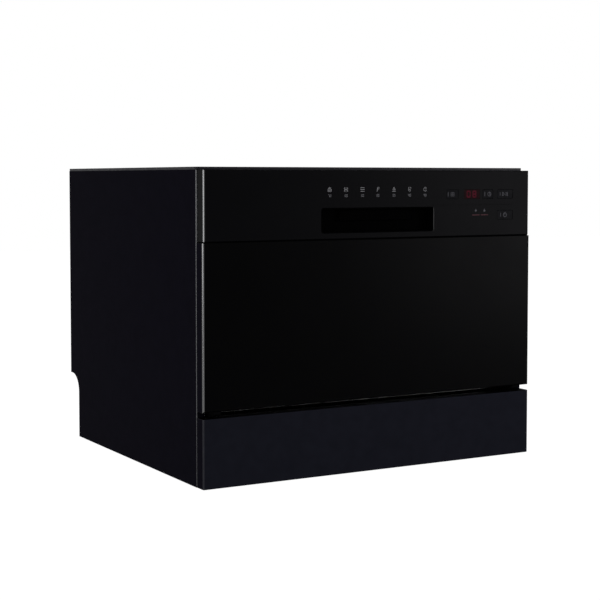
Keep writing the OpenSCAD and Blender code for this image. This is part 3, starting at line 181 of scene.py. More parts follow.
@dataclass(frozen=True)
class Finish:
    """A procedural finish: a colour that drifts a little, a roughness that varies and a relief.

    The grain and the relief are in millimetres.  The specular level is the shader's own.
    """

    name: str
    colour: Point
    roughness: float
    slot: str
    surface: Surface = Surface.MOULDED
    metallic: float = 0.0
    specular: float = 0.5
    grain: float = 0.5
    relief: float = 0.02
    drift: float = 0.12
    spread: float = 0.06
    glow: float = 0.0

    def toned(self, share: float) -> tuple[float, ...]:
        """Returns the colour with its three parts multiplied by a share, and an alpha of 1."""
        return (*(min(1.0, part * share) for part in self.colour), 1.0)

    def material(self) -> bpy.types.Material:
        """Makes the node material once and returns it."""
        known = bpy.data.materials.get(self.name)
        if known is not None:
            return known
        made = bpy.data.materials.new(self.name)
        made.use_nodes = True
        made.diffuse_color = self.toned(1.0)
        graph = Graph(made.node_tree)
        shader = graph.feed(graph.tree.nodes["Principled BSDF"], Metallic=self.metallic,
                            Specular_IOR_Level=self.specular)
        if self.glow > 0.0:
            graph.feed(shader, Emission_Color=self.toned(1.0), Emission_Strength=self.glow)
        mapping = graph.add("Mapping", Scale=self.surface.value)
        graph.link(graph.add("TexCoord").outputs["Object"], mapping, "Vector")
        graph.place = mapping.outputs["Vector"]
        graph.link(self.colour_drift(graph), shader, "Base Color")
        graph.link(self.roughness_spread(graph), shader, "Roughness")
        graph.link(self.fine_relief(graph), shader, "Normal")
        return made

    def colour_drift(self, graph: Graph) -> Socket:
        """Lets the colour drift between a darker and a lighter tone.

        Args:
            graph: The material's nodes.

        Returns:
            The colour.
        """
        ramp = graph.add("ValToRGB")
        shares = (1.0 - self.drift, 1.0 + self.drift)
        for stop, position, share in zip(ramp.color_ramp.elements, DRIFT_SPAN, shares):
            stop.position = position
            stop.color = self.toned(share)
        size = max(self.grain * DRIFT_GRAINS, DRIFT_LEAST)
        graph.link(graph.noise(size, DRIFT_DETAIL), ramp, "Fac")
        return ramp.outputs["Color"]

    def roughness_spread(self, graph: Graph) -> Socket:
        """Varies the roughness round its mean.

        Args:
            graph: The material's nodes.

        Returns:
            The roughness.
        """
        low, high = SPREAD_SPAN
        span = graph.add("MapRange", From_Min=low, From_Max=high,
                         To_Min=max(LEAST_ROUGHNESS, self.roughness - self.spread),
                         To_Max=min(1.0, self.roughness + self.spread))
        size = max(self.grain * SPREAD_GRAINS, SPREAD_LEAST)
        graph.link(graph.noise(size, SPREAD_DETAIL), span, "Value")
        return span.outputs["Result"]

    def fine_relief(self, graph: Graph) -> Socket:
        """Adds the grain as a bump.

        Args:
            graph: The material's nodes.

        Returns:
            The normal.
        """
        bump = graph.add("Bump", Strength=RELIEF_STRENGTH, Distance=self.relief * METRE)
        graph.link(graph.noise(self.grain, RELIEF_DETAIL), bump, "Height")
        return bump.outputs["Normal"]


@dataclass(frozen=True)
class ZincFinish(Finish):
    """Zinc-plated steel, with the spangle of the plating as cells of a slightly other tone."""

    spangle: float = 3.0

    def colour_drift(self, graph: Graph) -> Socket:
        """Gives each cell of the plating its own tone.

        Args:
            graph: The material's nodes.

        Returns:
            The colour.
        """
        cells = graph.add("TexVoronoi", Scale=1.0 / (self.spangle * METRE))
        graph.link(graph.place, cells, "Vector")
        ramp = graph.add("ValToRGB")
        for stop, share in zip(ramp.color_ramp.elements, (1.0 - self.drift, 1.0 + self.drift)):
            stop.color = self.toned(share)
        graph.link(cells.outputs["Color"], ramp, "Fac")
        return ramp.outputs["Color"]


@dataclass(frozen=True)
class BoardFinish(Finish):
    """Circuit board: green lacquer with copper tracks under it."""

    pitch: float = 5.0
    track_width: float = 0.06
    second_tone: float = 0.8
    track_tone: float = 1.9

    def colour_drift(self, graph: Graph) -> Socket:
        """Draws the tracks as a brick pattern of thin lighter lines.

        Args:
            graph: The material's nodes.

        Returns:
            The colour.
        """
        turn = graph.add("Mapping", Rotation=(math.pi / 2.0, 0.0, 0.0))
        graph.link(graph.place, turn, "Vector")
        bricks = graph.add("TexBrick", Scale=1.0 / (self.pitch * METRE),
                           Mortar_Size=self.track_width, Color1=self.toned(1.0),
                           Color2=self.toned(self.second_tone), Mortar=self.toned(self.track_tone))
        graph.link(turn.outputs["Vector"], bricks, "Vector")
        return bricks.outputs["Color"]


painted = partial(Finish, slot="black_paint", surface=Surface.SPRAYED, grain=1.4, relief=0.006,
                  drift=0.08)
glossy = partial(Finish, slot="front_gloss", surface=Surface.SPRAYED, grain=9.0, relief=0.006,
                 drift=0.05)
printed = partial(Finish, slot="front_gloss", specular=0.05, grain=0.3, relief=0.01)

# The side panels' satin paint; also laid on the left sides of the door panel and the plinth as
# painted shade.
SATIN_PAINT_AND_SIDE_SHADE = painted("satin_black_paint", (0.0028, 0.0025, 0.0044), 0.36, specular=0.0008)
# The side panels' paint again, made lighter and far glossier on the roof and back as a painted
# sheen.
ROOF_PAINT_SHEEN = painted("satin_black_roof_paint", (0.0046, 0.0043, 0.0066), 0.4, specular=0.07,
                     relief=0.012, drift=0.1)
# Far glossier copy of the side paint, laid on the fold and the pan's flange ends as a painted
# highlight.
PAINT_FOLD_HIGHLIGHT = painted("satin_black_fold", (0.004, 0.004, 0.006), 0.42, specular=0.6)
PLINTH_PAINT = painted("plinth_black_paint", (0.0064, 0.0067, 0.0098), 0.42, specular=0.004,
                       grain=1.2, relief=0.008)
# Glossier copy of the plinth paint, laid on its left front corner as a painted highlight.
PLINTH_EDGE_HIGHLIGHT = painted("plinth_black_edge", (0.006, 0.006, 0.009), 0.35, specular=0.12, grain=1.2,
                      relief=0.008)
GLOSS_FRONT = glossy("gloss_black_front", (0.0004, 0.0004, 0.0005), 0.3, specular=0.012,
                     spread=0.02)
GLOSS_PANEL = glossy("gloss_black_control_panel", (0.0015, 0.0015, 0.0018), 0.32, specular=0.011,
                     spread=0.02)
# Lighter, far glossier copy of the gloss front, laid on the left front corners as a painted
# highlight.
FRONT_CORNER_HIGHLIGHT = glossy("gloss_black_corner", (0.003, 0.003, 0.003), 0.2, specular=1.0, relief=0.004)
# Far glossier copy of the control panel's finish, laid on the pocket's right edge as a painted
# highlight.
POCKET_EDGE_HIGHLIGHT = glossy("gloss_black_pocket_edge", (0.0015, 0.0015, 0.0018), 0.26, specular=0.6,
                     relief=0.004)
KEY_GLOSS = Finish("gloss_black_key", (0.0014, 0.0014, 0.002), 0.32, "front_gloss",
                   specular=0.011, grain=2.0, relief=0.004, drift=0.05)
# Black moulding made far darker than the other blacks: painted shade in the handle's pocket, on
# its latch and on the plinth's ledge.
POCKET_BLACK_AND_SHADE = Finish("pocket_black_and_shade", (0.00016, 0.00016, 0.0002), 0.6, "base_plastic",
                      specular=0.003, relief=0.01)
BASE_BLACK = Finish("black_base_moulding", (0.0045, 0.0045, 0.005), 0.55, "base_plastic",
                    specular=0.06, relief=0.04)
MATT_BLACK = Finish("matt_black_moulding", (0.012, 0.012, 0.013), 0.58, "base_plastic",
                    specular=0.3, relief=0.05)
LENS_RED = Finish("smoked_red_lens", (0.006, 0.0007, 0.0011), 0.24, "smoked_lens",
                  specular=0.008, grain=4.0, relief=0.004, drift=0.2)
STAINLESS_TUB = Finish("brushed_stainless_tub", (0.6, 0.61, 0.62), 0.3, "stainless",
                       Surface.BRUSHED_ACROSS, metallic=1.0, grain=0.3, relief=0.01, drift=0.04,
                       spread=0.04)
STAINLESS_DOOR = Finish("brushed_stainless_door", (0.62, 0.63, 0.64), 0.28, "stainless",
                        Surface.BRUSHED_ACROSS, metallic=1.0, grain=0.3, relief=0.01, drift=0.04,
                        spread=0.04)
SCREW_STEEL = Finish("screw_steel", (0.55, 0.56, 0.57), 0.32, "stainless", metallic=1.0,
                     grain=0.3)
SOFT_RUBBER = Finish("seal_rubber", (0.018, 0.018, 0.019), 0.74, "rubber", specular=0.3,
                     grain=0.4, relief=0.04)
ZINC = ZincFinish("zinc_plate", (0.5, 0.51, 0.53), 0.4, "zinc_steel", metallic=1.0, drift=0.18)
BLACK_ZINC = ZincFinish("blackened_zinc", (0.0014, 0.0014, 0.0016), 0.6, "zinc_steel",
                        specular=0.01, drift=0.2)
PUMP_GREY = Finish("dark_grey_moulding", (0.014, 0.014, 0.016), 0.5, "grey_plastic",
                   specular=0.06, relief=0.03, drift=0.05)
# Painted shade: a near-black strip laid in the seam between the door panel and the control panel.
SEAM_SHADE_BLACK = Finish("black_seam_shade", (0.0006, 0.0006, 0.0007), 0.9, "rubber", specular=0.01,
                    grain=0.4, relief=0.04)
GREY_SATIN = Finish("grey_satin_moulding", (0.4, 0.42, 0.45), 0.46, "grey_plastic", specular=0.4,
                    relief=0.03, drift=0.05)
GREY_MESH = Finish("grey_filter_moulding", (0.33, 0.35, 0.38), 0.52, "grey_plastic",
                   specular=0.35, grain=0.4, relief=0.05, drift=0.05)
WHITE_SATIN = Finish("white_satin_moulding", (0.74, 0.75, 0.76), 0.44, "white_plastic",
                     specular=0.4, relief=0.03, drift=0.04)
NYLON_COAT = Finish("nylon_coated_wire", (0.33, 0.35, 0.39), 0.4, "coated_wire", Surface.DRAWN,
                    specular=0.45, relief=0.04, drift=0.06)
BOARD_GREEN = BoardFinish("circuit_board", (0.03, 0.13, 0.06), 0.35, "board", grain=0.8)
PALE_PRINT = printed("pale_grey_print", (0.17, 0.17, 0.175), 0.5, specular=0.1)
KEY_PRINT = printed("dim_grey_print", (0.05, 0.05, 0.056), 0.5)
WARM_PRINT = printed("warm_red_print", (0.05, 0.016, 0.02), 0.5)
DIM_PRINT = printed("mid_grey_print", (0.095, 0.095, 0.1), 0.5)
DARK_LINE = printed("dark_groove", (0.0004, 0.0004, 0.0005), 0.6, specular=0.02)
RED_DIGITS = Finish("red_digits", (0.046, 0.0036, 0.0085), 0.4, "smoked_lens", specular=0.01,
                    grain=0.6, relief=0.0, glow=0.45)


# ---------------- workshop


def full_turn(bm: Mesh, geometry: list, centre: Point, axis: Point, steps: int) -> None:
    """Spins geometry once round an axis and closes the seam.

    Args:
        bm: The mesh that holds the geometry.
        geometry: The vertices and edges to spin.
        centre: A point on the axis.
        axis: The axis.
        steps: Steps of the turn.
    """
    bmesh.ops.spin(bm, geom=geometry, cent=centre, axis=axis, dvec=(0.0, 0.0, 0.0),
                   angle=math.tau, steps=steps, use_merge=True, use_normal_flip=False)
    bmesh.ops.remove_doubles(bm, verts=bm.verts[:], dist=WELD_MM)


def lathe(profile: Sequence[Place], centre: Point, steps: int = 48) -> Mesh:
    """Turns a closed profile round an axis along Y.

    Args:
        profile: Corners as (distance along Y, radius), in order.
        centre: The point of the axis that the distances start from.
        steps: Steps of the turn.

    Returns:
        The turned mesh in millimetres.
    """
    bm = bmesh.new()
    corners = [bm.verts.new((centre[0] + r, centre[1] + y, centre[2])) for y, r in profile]
    for first, second in zip(corners, corners[1:] + corners[:1]):
        if first is not second:
            bm.edges.new((first, second))
    full_turn(bm, bm.verts[:] + bm.edges[:], centre, (0.0, 1.0, 0.0), steps)
    bmesh.ops.recalc_face_normals(bm, faces=bm.faces[:])
    return bm


def is_slanted(face: Face) -> bool:
    """Tells whether a face is a slanted one of an upright edge that faces front and left."""
    normal = face.normal
    return -SIDEWAYS < normal.x < -SLANT_X and normal.y < -SLANT_Y and abs(normal.z) < UPWARD


def is_highlit_left_corner(face: Face) -> bool:
    """Tells whether a face is on the upright front corner at the object's left side: a painted
    highlight.
    """
    return is_slanted(face) and face.center.x < LEFT_CORNER_X


def is_shaded_left_side(face: Face) -> bool:
    """Tells whether a face is on the flat left side of the object, which takes painted shade."""
    return face.normal.x < -SIDEWAYS and face.center.x < LEFT_CORNER_X


def is_highlit_pocket_corner(face: Face) -> bool:
    """Tells whether a face is on the upright edge at the right of the handle's pocket: a painted
    highlight.
    """
    return is_slanted(face) and LEFT_CORNER_X < face.center.x < POCKET_RIGHT_X


def is_shaded_ledge(face: Face) -> bool:
    """Tells whether a face looks up, the round edge at its front included: the plinth's ledge, in
    painted shade.
    """
    return face.normal.z > UPWARD


def is_highlit_flange_end(face: Face) -> bool:
    """Tells whether a face is on the ends of the inner pan's flange, beside the panels: a painted
    highlight.
    """
    return abs(face.center.x) > FLANGE_END_X


@dataclass
class Workshop:
    """Turns meshes into finished pieces and hands them to the frame."""

    frame: dict[str, Any]
    made: list[str] = field(default_factory=list)

    def body_of(self, node: str) -> str:
        """Finds the body that holds a node.

        Args:
            node: Name of the node.

        Returns:
            The body's name.
        """
        bodies = self.frame["record"]["behaviour"]["bodies"]
        return next(body for body, nodes in bodies.items() if node in nodes)

    def publish(self, bm: Mesh, name: str, body: str, finish: Finish,
                stands_for: Sequence[str] = (), smooth: float = 40.0,
                unit: float = METRE) -> bpy.types.Object:
        """Makes an object from a mesh, finishes it and lets it ride.

        Args:
            bm: The mesh, which is used up.
            name: Name of the piece.
            body: Body that it rides on.
            finish: Its finish.
            stands_for: Nodes that it takes the place of.
            smooth: Angle in degrees over which an edge stays sharp.
            unit: Metres in a unit of the mesh.

        Returns:
            The piece.
        """
        bmesh.ops.scale(bm, vec=(unit, unit, unit), verts=bm.verts[:])
        mesh = bpy.data.meshes.new(name)
        bm.to_mesh(mesh)
        bm.free()
        mesh.shade_smooth()
        mesh.set_sharp_from_angle(angle=math.radians(smooth))
        mesh.materials.append(finish.material())
        piece = bpy.data.objects.new(name, mesh)
        bpy.context.scene.collection.objects.link(piece)
        even = piece.modifiers.new("Even shading", "WEIGHTED_NORMAL")
        even.keep_sharp = True
        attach(piece, body)
        if stands_for:
            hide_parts(*stands_for)
        self.made.append(name)
        LOG.info("%s on %s, %d faces", name, body, len(mesh.polygons))
        return piece

    def merged_copy(self, node: str) -> Mesh:
        """Copies a node, joins its loose triangles and clears the edges inside flat faces.

        Args:
            node: Name of the node.

        Returns:
            The copy in metres.
        """
        bm = bmesh.new()
        bm.from_mesh(self.frame["nodes"][node].data)
        bmesh.ops.remove_doubles(bm, verts=bm.verts[:], dist=WELD_M)
        bmesh.ops.dissolve_limit(bm, angle_limit=math.radians(FLAT_DEGREES), verts=bm.verts[:],
                                 edges=bm.edges[:], use_dissolve_boundaries=False)
        return bm

    @staticmethod
    def hard_edges(bm: Mesh, sharp: float) -> list[bmesh.types.BMEdge]:
        """Finds the edges whose two faces turn by more than an angle.

        Args:
            bm: The mesh.
            sharp: The angle in degrees.

        Returns:
            The edges.
        """
        return [e for e in bm.edges
                if e.is_manifold and e.calc_face_angle(0.0) > math.radians(sharp)]

    @staticmethod
    def round_off(bm: Mesh, edges: list, width: float, steps: int) -> None:
        """Rounds edges of a mesh that is in metres.

        Args:
            bm: The mesh.
            edges: The edges.
            width: Width of the round edges in millimetres.
            steps: Steps across a round edge.
        """
        bmesh.ops.bevel(bm, geom=edges, offset=width * METRE, offset_type="OFFSET",
                        segments=steps, profile=0.5, affect="EDGES", clamp_overlap=False,
                        material=-1)

    def soften(self, node: str, finish: Finish, width: float, steps: int = 2,
               sharp: float = 42.0, corner: Finish | None = None,
               fold: float = 0.0) -> bpy.types.Object:
        """Stands in for a node with the same form and small round edges.

        Args:
            node: Name of the node.
            finish: Its finish.
            width: Width of the round edges in millimetres, or 0 to round none.
            steps: Steps across a round edge.
            sharp: Angle in degrees over which an edge is rounded.
            corner: Finish of the upright front corner at the left, where it is another one: a
                painted highlight.
            fold: Width in millimetres of the upright outer edges, where it is another one.

        Returns:
            The piece.
        """
        bm = self.merged_copy(node)
        if fold > 0.0:
            reach = max(abs(v.co.x) for v in bm.verts)
            outer = [e for e in self.hard_edges(bm, sharp) if e.calc_length() > LONG_EDGE
                     and all(abs(abs(v.co.x) - reach) < SAME_PLACE for v in e.verts)
                     and abs(e.verts[0].co.y - e.verts[1].co.y) < SAME_PLACE]
            self.round_off(bm, outer, fold, FOLD_STEPS)
        if width > 0.0:
            self.round_off(bm, self.hard_edges(bm, sharp), width, steps)
        piece = self.publish(bm, f"{node}_finished", self.body_of(node), finish,
                             stands_for=(node,), smooth=sharp + SMOOTH_OVER, unit=1.0)
        if corner is not None:
            self.tint(piece, corner, is_highlit_left_corner)
        return piece

    def soften_all(self, rows: Iterable[tuple[str, Finish, float]]) -> None:
        """Stands in for many nodes.

        Args:
            rows: The nodes' names with blanks between them, their finish and the width of
                their round edges.
        """
        for names, finish, width in rows:
            for node in names.split():
                self.soften(node, finish, width)

    @staticmethod
    def tint(piece: bpy.types.Object, finish: Finish, chosen: FaceTest) -> None:
        """Gives some faces of a piece a finish of their own.

        Args:
            piece: The piece.
            finish: The finish.
            chosen: Tells for a face whether it takes the finish.
        """
        piece.data.materials.append(finish.material())
        for face in piece.data.polygons:
            if chosen(face):
                face.material_index = len(piece.data.materials) - 1


# ---------------- marks and screws


SEGMENTS: dict[str, tuple[float, float, float, float]] = {
    "top": (0.0, 1.0, 1.0, 1.0),
    "upper_left": (0.0, 0.5, 0.0, 1.0),
    "upper_right": (1.0, 0.5, 1.0, 1.0),
    "middle": (0.0, 0.5, 1.0, 0.5),
    "lower_left": (0.0, 0.0, 0.0, 0.5),
    "lower_right": (1.0, 0.0, 1.0, 0.5),
    "bottom": (0.0, 0.0, 1.0, 0.0),
}

DIGITS: dict[str, tuple[str, ...]] = {
    "0": ("top", "upper_left", "upper_right", "lower_left", "lower_right", "bottom"),
    "4": ("upper_left", "upper_right", "middle", "lower_right"),
    "5": ("top", "upper_left", "middle", "lower_right", "bottom"),
    "6": ("top", "upper_left", "middle", "lower_left", "lower_right", "bottom"),
    "7": ("top", "upper_right", "lower_right"),
    "8": tuple(SEGMENTS),
}


@dataclass
class Stencil:
    """Thin printed marks on a plane that faces -Y."""

    face_y: float
    thickness: float = 0.08
    sink: float = 0.02
    bm: Mesh = field(default_factory=bmesh.new)

    @property
    def middle_y(self) -> float:
        """Depth of the middle of the marks, which are sunk a little into their plane."""
        return self.face_y - self.thickness / 2.0 + self.sink

    def bar(self, start: Place, end: Place, width: float) -> None:
        """Adds a straight stroke.

        Args:
            start: X and Z of one end.
            end: X and Z of the other end.
            width: Width of the stroke.
        """
        run = Vector((end[0] - start[0], 0.0, end[1] - start[1]))
        middle = Vector(((start[0] + end[0]) / 2.0, self.middle_y, (start[1] + end[1]) / 2.0))
        shape = Matrix.Diagonal((run.length + width, self.thickness, width, 1.0))
        turn = Matrix.Rotation(-math.atan2(run.z, run.x), 4, "Y")
        bmesh.ops.create_cube(self.bm, size=1.0, matrix=Matrix.Translation(middle) @ turn @ shape)

    def ring(self, centre: Place, radius: float, width: float, steps: int = 24) -> None:
        """Adds a round outline.

        Args:
            centre: X and Z of the middle.
            radius: Radius of the middle of the stroke.
            width: Width of the stroke.
            steps: Steps round the ring.
        """
        shape = Matrix.Diagonal((width, self.thickness, 1.0, 1.0))
        place = Matrix.Translation((centre[0] + radius, self.middle_y, centre[1])) @ shape
        section = bmesh.ops.create_grid(self.bm, x_segments=1, y_segments=1, size=0.5,
                                        matrix=place)["verts"]
        edges = list({e for v in section for e in v.link_edges})
        faces = list({f for v in section for f in v.link_faces})
        bmesh.ops.delete(self.bm, geom=faces, context="FACES_ONLY")
        bmesh.ops.spin(self.bm, geom=section + edges, cent=(centre[0], self.middle_y, centre[1]),
                       axis=(0.0, 1.0, 0.0), dvec=(0.0, 0.0, 0.0), angle=math.tau,
                       steps=steps, use_merge=True, use_normal_flip=False)

    def dot(self, centre: Place, radius: float) -> None:
        """Adds a filled round mark.

        Args:
            centre: X and Z of the middle.
            radius: Its radius.
        """
        turn = Matrix.Rotation(math.pi / 2.0, 4, "X")
        place = Matrix.Translation((centre[0], self.middle_y, centre[1]))
        bmesh.ops.create_cone(self.bm, cap_ends=True, segments=20, radius1=radius,
                              radius2=radius, depth=self.thickness, matrix=place @ turn)

    def path(self, middle: Place, points: Sequence[Place], width: float) -> None:
        """Adds strokes from point to point.

        Args:
            middle: X and Z that the points are counted from.
            points: The points, in order.
            width: Width of the strokes.
        """
        moved = [(middle[0] + x, middle[1] + z) for x, z in points]
        for start, end in zip(moved, moved[1:]):
            self.bar(start, end, width)

    def number(self, text: str, corner: Place, height: float, width: float,
               wide: float = 0.5, space: float = 0.32) -> None:
        """Adds a number in seven-segment digits.

        Args:
            text: The digits.
            corner: X and Z of the lower left corner.
            height: Height of a digit.
            width: Width of a stroke.
            wide: Width of a digit, as a share of its height.
            space: Space between digits, as a share of their height.
        """
        wide *= height
        for place, digit in enumerate(text):
            x = corner[0] + place * (wide + height * space)
            for name in DIGITS[digit]:
                x0, z0, x1, z1 = SEGMENTS[name]
                self.bar((x + x0 * wide, corner[1] + z0 * height),
                         (x + x1 * wide, corner[1] + z1 * height), width)


@dataclass
class ScrewRow:
    """Round screw heads with a cross recess, all facing the same way along +Y.

    The shares are of the head's radius or height.
    """

    places: Sequence[Place]
    seat_y: float
    radius: float
    height: float
    cross_half: float = 0.52
    slot_within: float = 0.3
    slot_narrow: float = 0.55
    slot_depth: float = 0.5
    dome_top: float = 0.86
    dome_drops: tuple[float, float, float] = (0.18, 0.32, 0.5)

    def head(self, bm: Mesh, x: float, z: float) -> None:
        """Adds one head: a narrow cross let into a domed disc.

        Args:
            bm: The mesh that takes it.
            x: Sideways place.
            z: Height.
        """
        new = bmesh.new()
        bmesh.ops.create_grid(new, x_segments=3, y_segments=3, size=self.radius * self.cross_half)
        for vertex in new.verts:
            for axis in (0, 1):
                if abs(vertex.co[axis]) < self.radius * self.slot_within:
                    vertex.co[axis] *= self.slot_narrow
        cross = [f for f in new.faces
                 if min(abs(f.calc_center_median().x), abs(f.calc_center_median().y)) < 1e-6]
        sunk = bmesh.ops.extrude_face_region(new, geom=cross)["geom"]
        bmesh.ops.delete(new, geom=cross, context="FACES")
        bmesh.ops.translate(new, vec=(0.0, 0.0, -self.height * self.slot_depth),
                            verts=[g for g in sunk if isinstance(g, bmesh.types.BMVert)])
        rim = [e for e in new.edges if e.is_boundary]
        top, shoulder, side = (-self.height * share for share in self.dome_drops)
        edge = bmesh.ops.create_circle(new, segments=24, radius=self.radius * self.dome_top,
                                       matrix=Matrix.Translation((0, 0, top)))
        loop = list({e for v in edge["verts"] for e in v.link_edges})
        bmesh.ops.bridge_loops(new, edges=rim + loop)
        for spread, drop in ((1.0 / self.dome_top, shoulder), (1.0, side)):
            outer = [e for e in new.edges if e.is_boundary]
            grown = bmesh.ops.extrude_edge_only(new, edges=outer)["geom"]
            verts = [g for g in grown if isinstance(g, bmesh.types.BMVert)]
            bmesh.ops.scale(new, vec=(spread, spread, 1.0), verts=verts)
            bmesh.ops.translate(new, vec=(0.0, 0.0, drop), verts=verts)
        bmesh.ops.recalc_face_normals(new, faces=new.faces[:])
        place = Matrix.Translation((x, self.seat_y + self.height, z))
        new.transform(place @ Matrix.Rotation(-math.pi / 2.0, 4, "X"))
        mesh = bpy.data.meshes.new("screw_head")
        new.to_mesh(mesh)
        new.free()
        bm.from_mesh(mesh)
        bpy.data.meshes.remove(mesh)

    def build(self) -> Mesh:
        """Returns all the heads as one mesh in millimetres."""
        bm = bmesh.new()
        for x, z in self.places:
            self.head(bm, x, z)
        return bm


# ---------------- cabinet


@dataclass
class Cabinet:
    """The folded steel cabinet, the moulded base and the fittings in its rear recess."""

    shop: Workshop
    fold: float = 1.3
    edge: float = 0.4
    rear_face_y: float = 248.0
    rear_screw_x: float = 268.0
    rear_screw_z: tuple[float, ...] = (125.0, 222.0, 319.0, 416.0)
    service_z: float = 62.0
    recess_y: float = 213.5
    inlet_x: float = -150.0
    inlet_r: float = 13.2
    inlet_bore_r: float = 9.3
    thread_depth: float = 0.9
    outlet_x: float = -95.0
    outlet_r: float = 9.5
    barb_count: int = 3
    barb_pitch: float = 6.0

    def build(self) -> None:
        """Makes every piece of the cabinet."""
        self.panels()
        self.screws()
        self.nozzle()
        self.spigot()
        self.hidden_parts()

    def panels(self) -> None:
        """Rounds the folds of the steel panels and the edges of the plinth."""
        # Painted highlight on the left side panel's front fold.
        self.shop.soften("side_panel_left", SATIN_PAINT_AND_SIDE_SHADE, 0.0, corner=PAINT_FOLD_HIGHLIGHT, fold=self.fold)
        self.shop.soften("side_panel_right", SATIN_PAINT_AND_SIDE_SHADE, 0.0, fold=self.fold)
        # Roof and back take the lighter, glossier copy of the paint as a painted sheen.
        for node in ("top_panel", "rear_panel"):
            self.shop.soften(node, ROOF_PAINT_SHEEN, self.edge)
        # Painted highlight on the plinth's left front corner.
        plinth = self.shop.soften("plinth", PLINTH_PAINT, 0.9, steps=3, corner=PLINTH_EDGE_HIGHLIGHT)
        # Painted shade: the plinth's ledge in the gap under the door is made near black.
        self.shop.tint(plinth, POCKET_BLACK_AND_SHADE, is_shaded_ledge)
        # Painted shade: the plinth's left side takes the darker, duller side paint.
        self.shop.tint(plinth, SATIN_PAINT_AND_SIDE_SHADE, is_shaded_left_side)

    def screws(self) -> None:
        """Adds the cross heads of the back panel's screws."""
        places = [(side * self.rear_screw_x, z) for side in (-1, 1) for z in self.rear_screw_z]
        heads = ScrewRow(places, self.rear_face_y, 3.4, 1.55)
        self.shop.publish(heads.build(), "rear_screw_heads", "cabinet", ZINC,
                          stands_for=("rear_screws",))

    def nozzle(self) -> None:
        """Adds the threaded end of the water inlet, a lathe piece over the valve's nozzle."""
        start, pitch, turns = 2.4, 1.9, 6
        root, crest = self.inlet_r - self.thread_depth, self.inlet_r + 0.05
        profile: list[Place] = [(start - 0.4, root)]
        for turn in range(turns):
            y = start + turn * pitch
            profile += [(y, root), (y + pitch * 0.35, crest), (y + pitch * 0.6, crest),
                        (y + pitch * 0.95, root)]
        end = start + turns * pitch + 0.3
        profile += [(end, self.inlet_r - 1.2), (end, self.inlet_bore_r),
                    (start - 0.4, self.inlet_bore_r)]
        self.shop.publish(lathe(profile, (self.inlet_x, self.recess_y, self.service_z)),
                          "inlet_thread", "cabinet", WHITE_SATIN)

    def spigot(self) -> None:
        """Adds the hose barbs of the drain outlet."""
        start, first, end = 4.0, 5.0, 23.9
        profile: list[Place] = [(start, self.outlet_r - 0.4)]
        for barb in range(self.barb_count):
            y = first + barb * self.barb_pitch
            profile += [(y, self.outlet_r - 0.2), (y + 0.6, self.outlet_r + 0.12),
                        (y + 4.6, self.outlet_r + 0.02)]
        profile += [(end - 0.3, self.outlet_r - 0.1), (end, self.outlet_r - 1.4),
                    (start, self.outlet_r - 1.4)]
        self.shop.publish(lathe(profile, (self.outlet_x, self.recess_y, self.service_z)),
                          "drain_barbs", "cabinet", MATT_BLACK)

    def hidden_parts(self) -> None:
        """Finishes the base, its feet and what stands on it."""
        self.shop.soften_all((
            ("base_tray", BASE_BLACK, 0.0),
            ("feet", SOFT_RUBBER, 0.6),
            ("inlet_valve", WHITE_SATIN, 0.0),
            ("drain_outlet cord_gland sump drain_pump", MATT_BLACK, 0.0),
            ("circulation_pump salt_container", PUMP_GREY, 0.0),
            ("air_break", WHITE_SATIN, 0.0),
            ("hinge_bracket_left hinge_bracket_right", BLACK_ZINC, 0.0),
            ("door_strike", ZINC, 0.0),
        ))


# ---------------- wash room


@dataclass
class WashRoom:
    """The stainless tub with its seals, filter, salt cap and spray arm."""

    shop: Workshop

    def build(self) -> None:
        """Makes every piece of the wash room."""
        self.shop.soften_all((
            ("tub", STAINLESS_TUB, 0.35),
            ("door_gasket bottom_seal", SOFT_RUBBER, 0.0),
            ("filter_plate", STAINLESS_TUB, 0.0),
            ("filter_cup", GREY_MESH, 0.0),
            ("salt_cap spray_arm", GREY_SATIN, 0.4),
            ("spray_arm_post", GREY_SATIN, 0.0),
            ("spray_arm_nut", MATT_BLACK, 0.4),
        ))


# ---------------- door


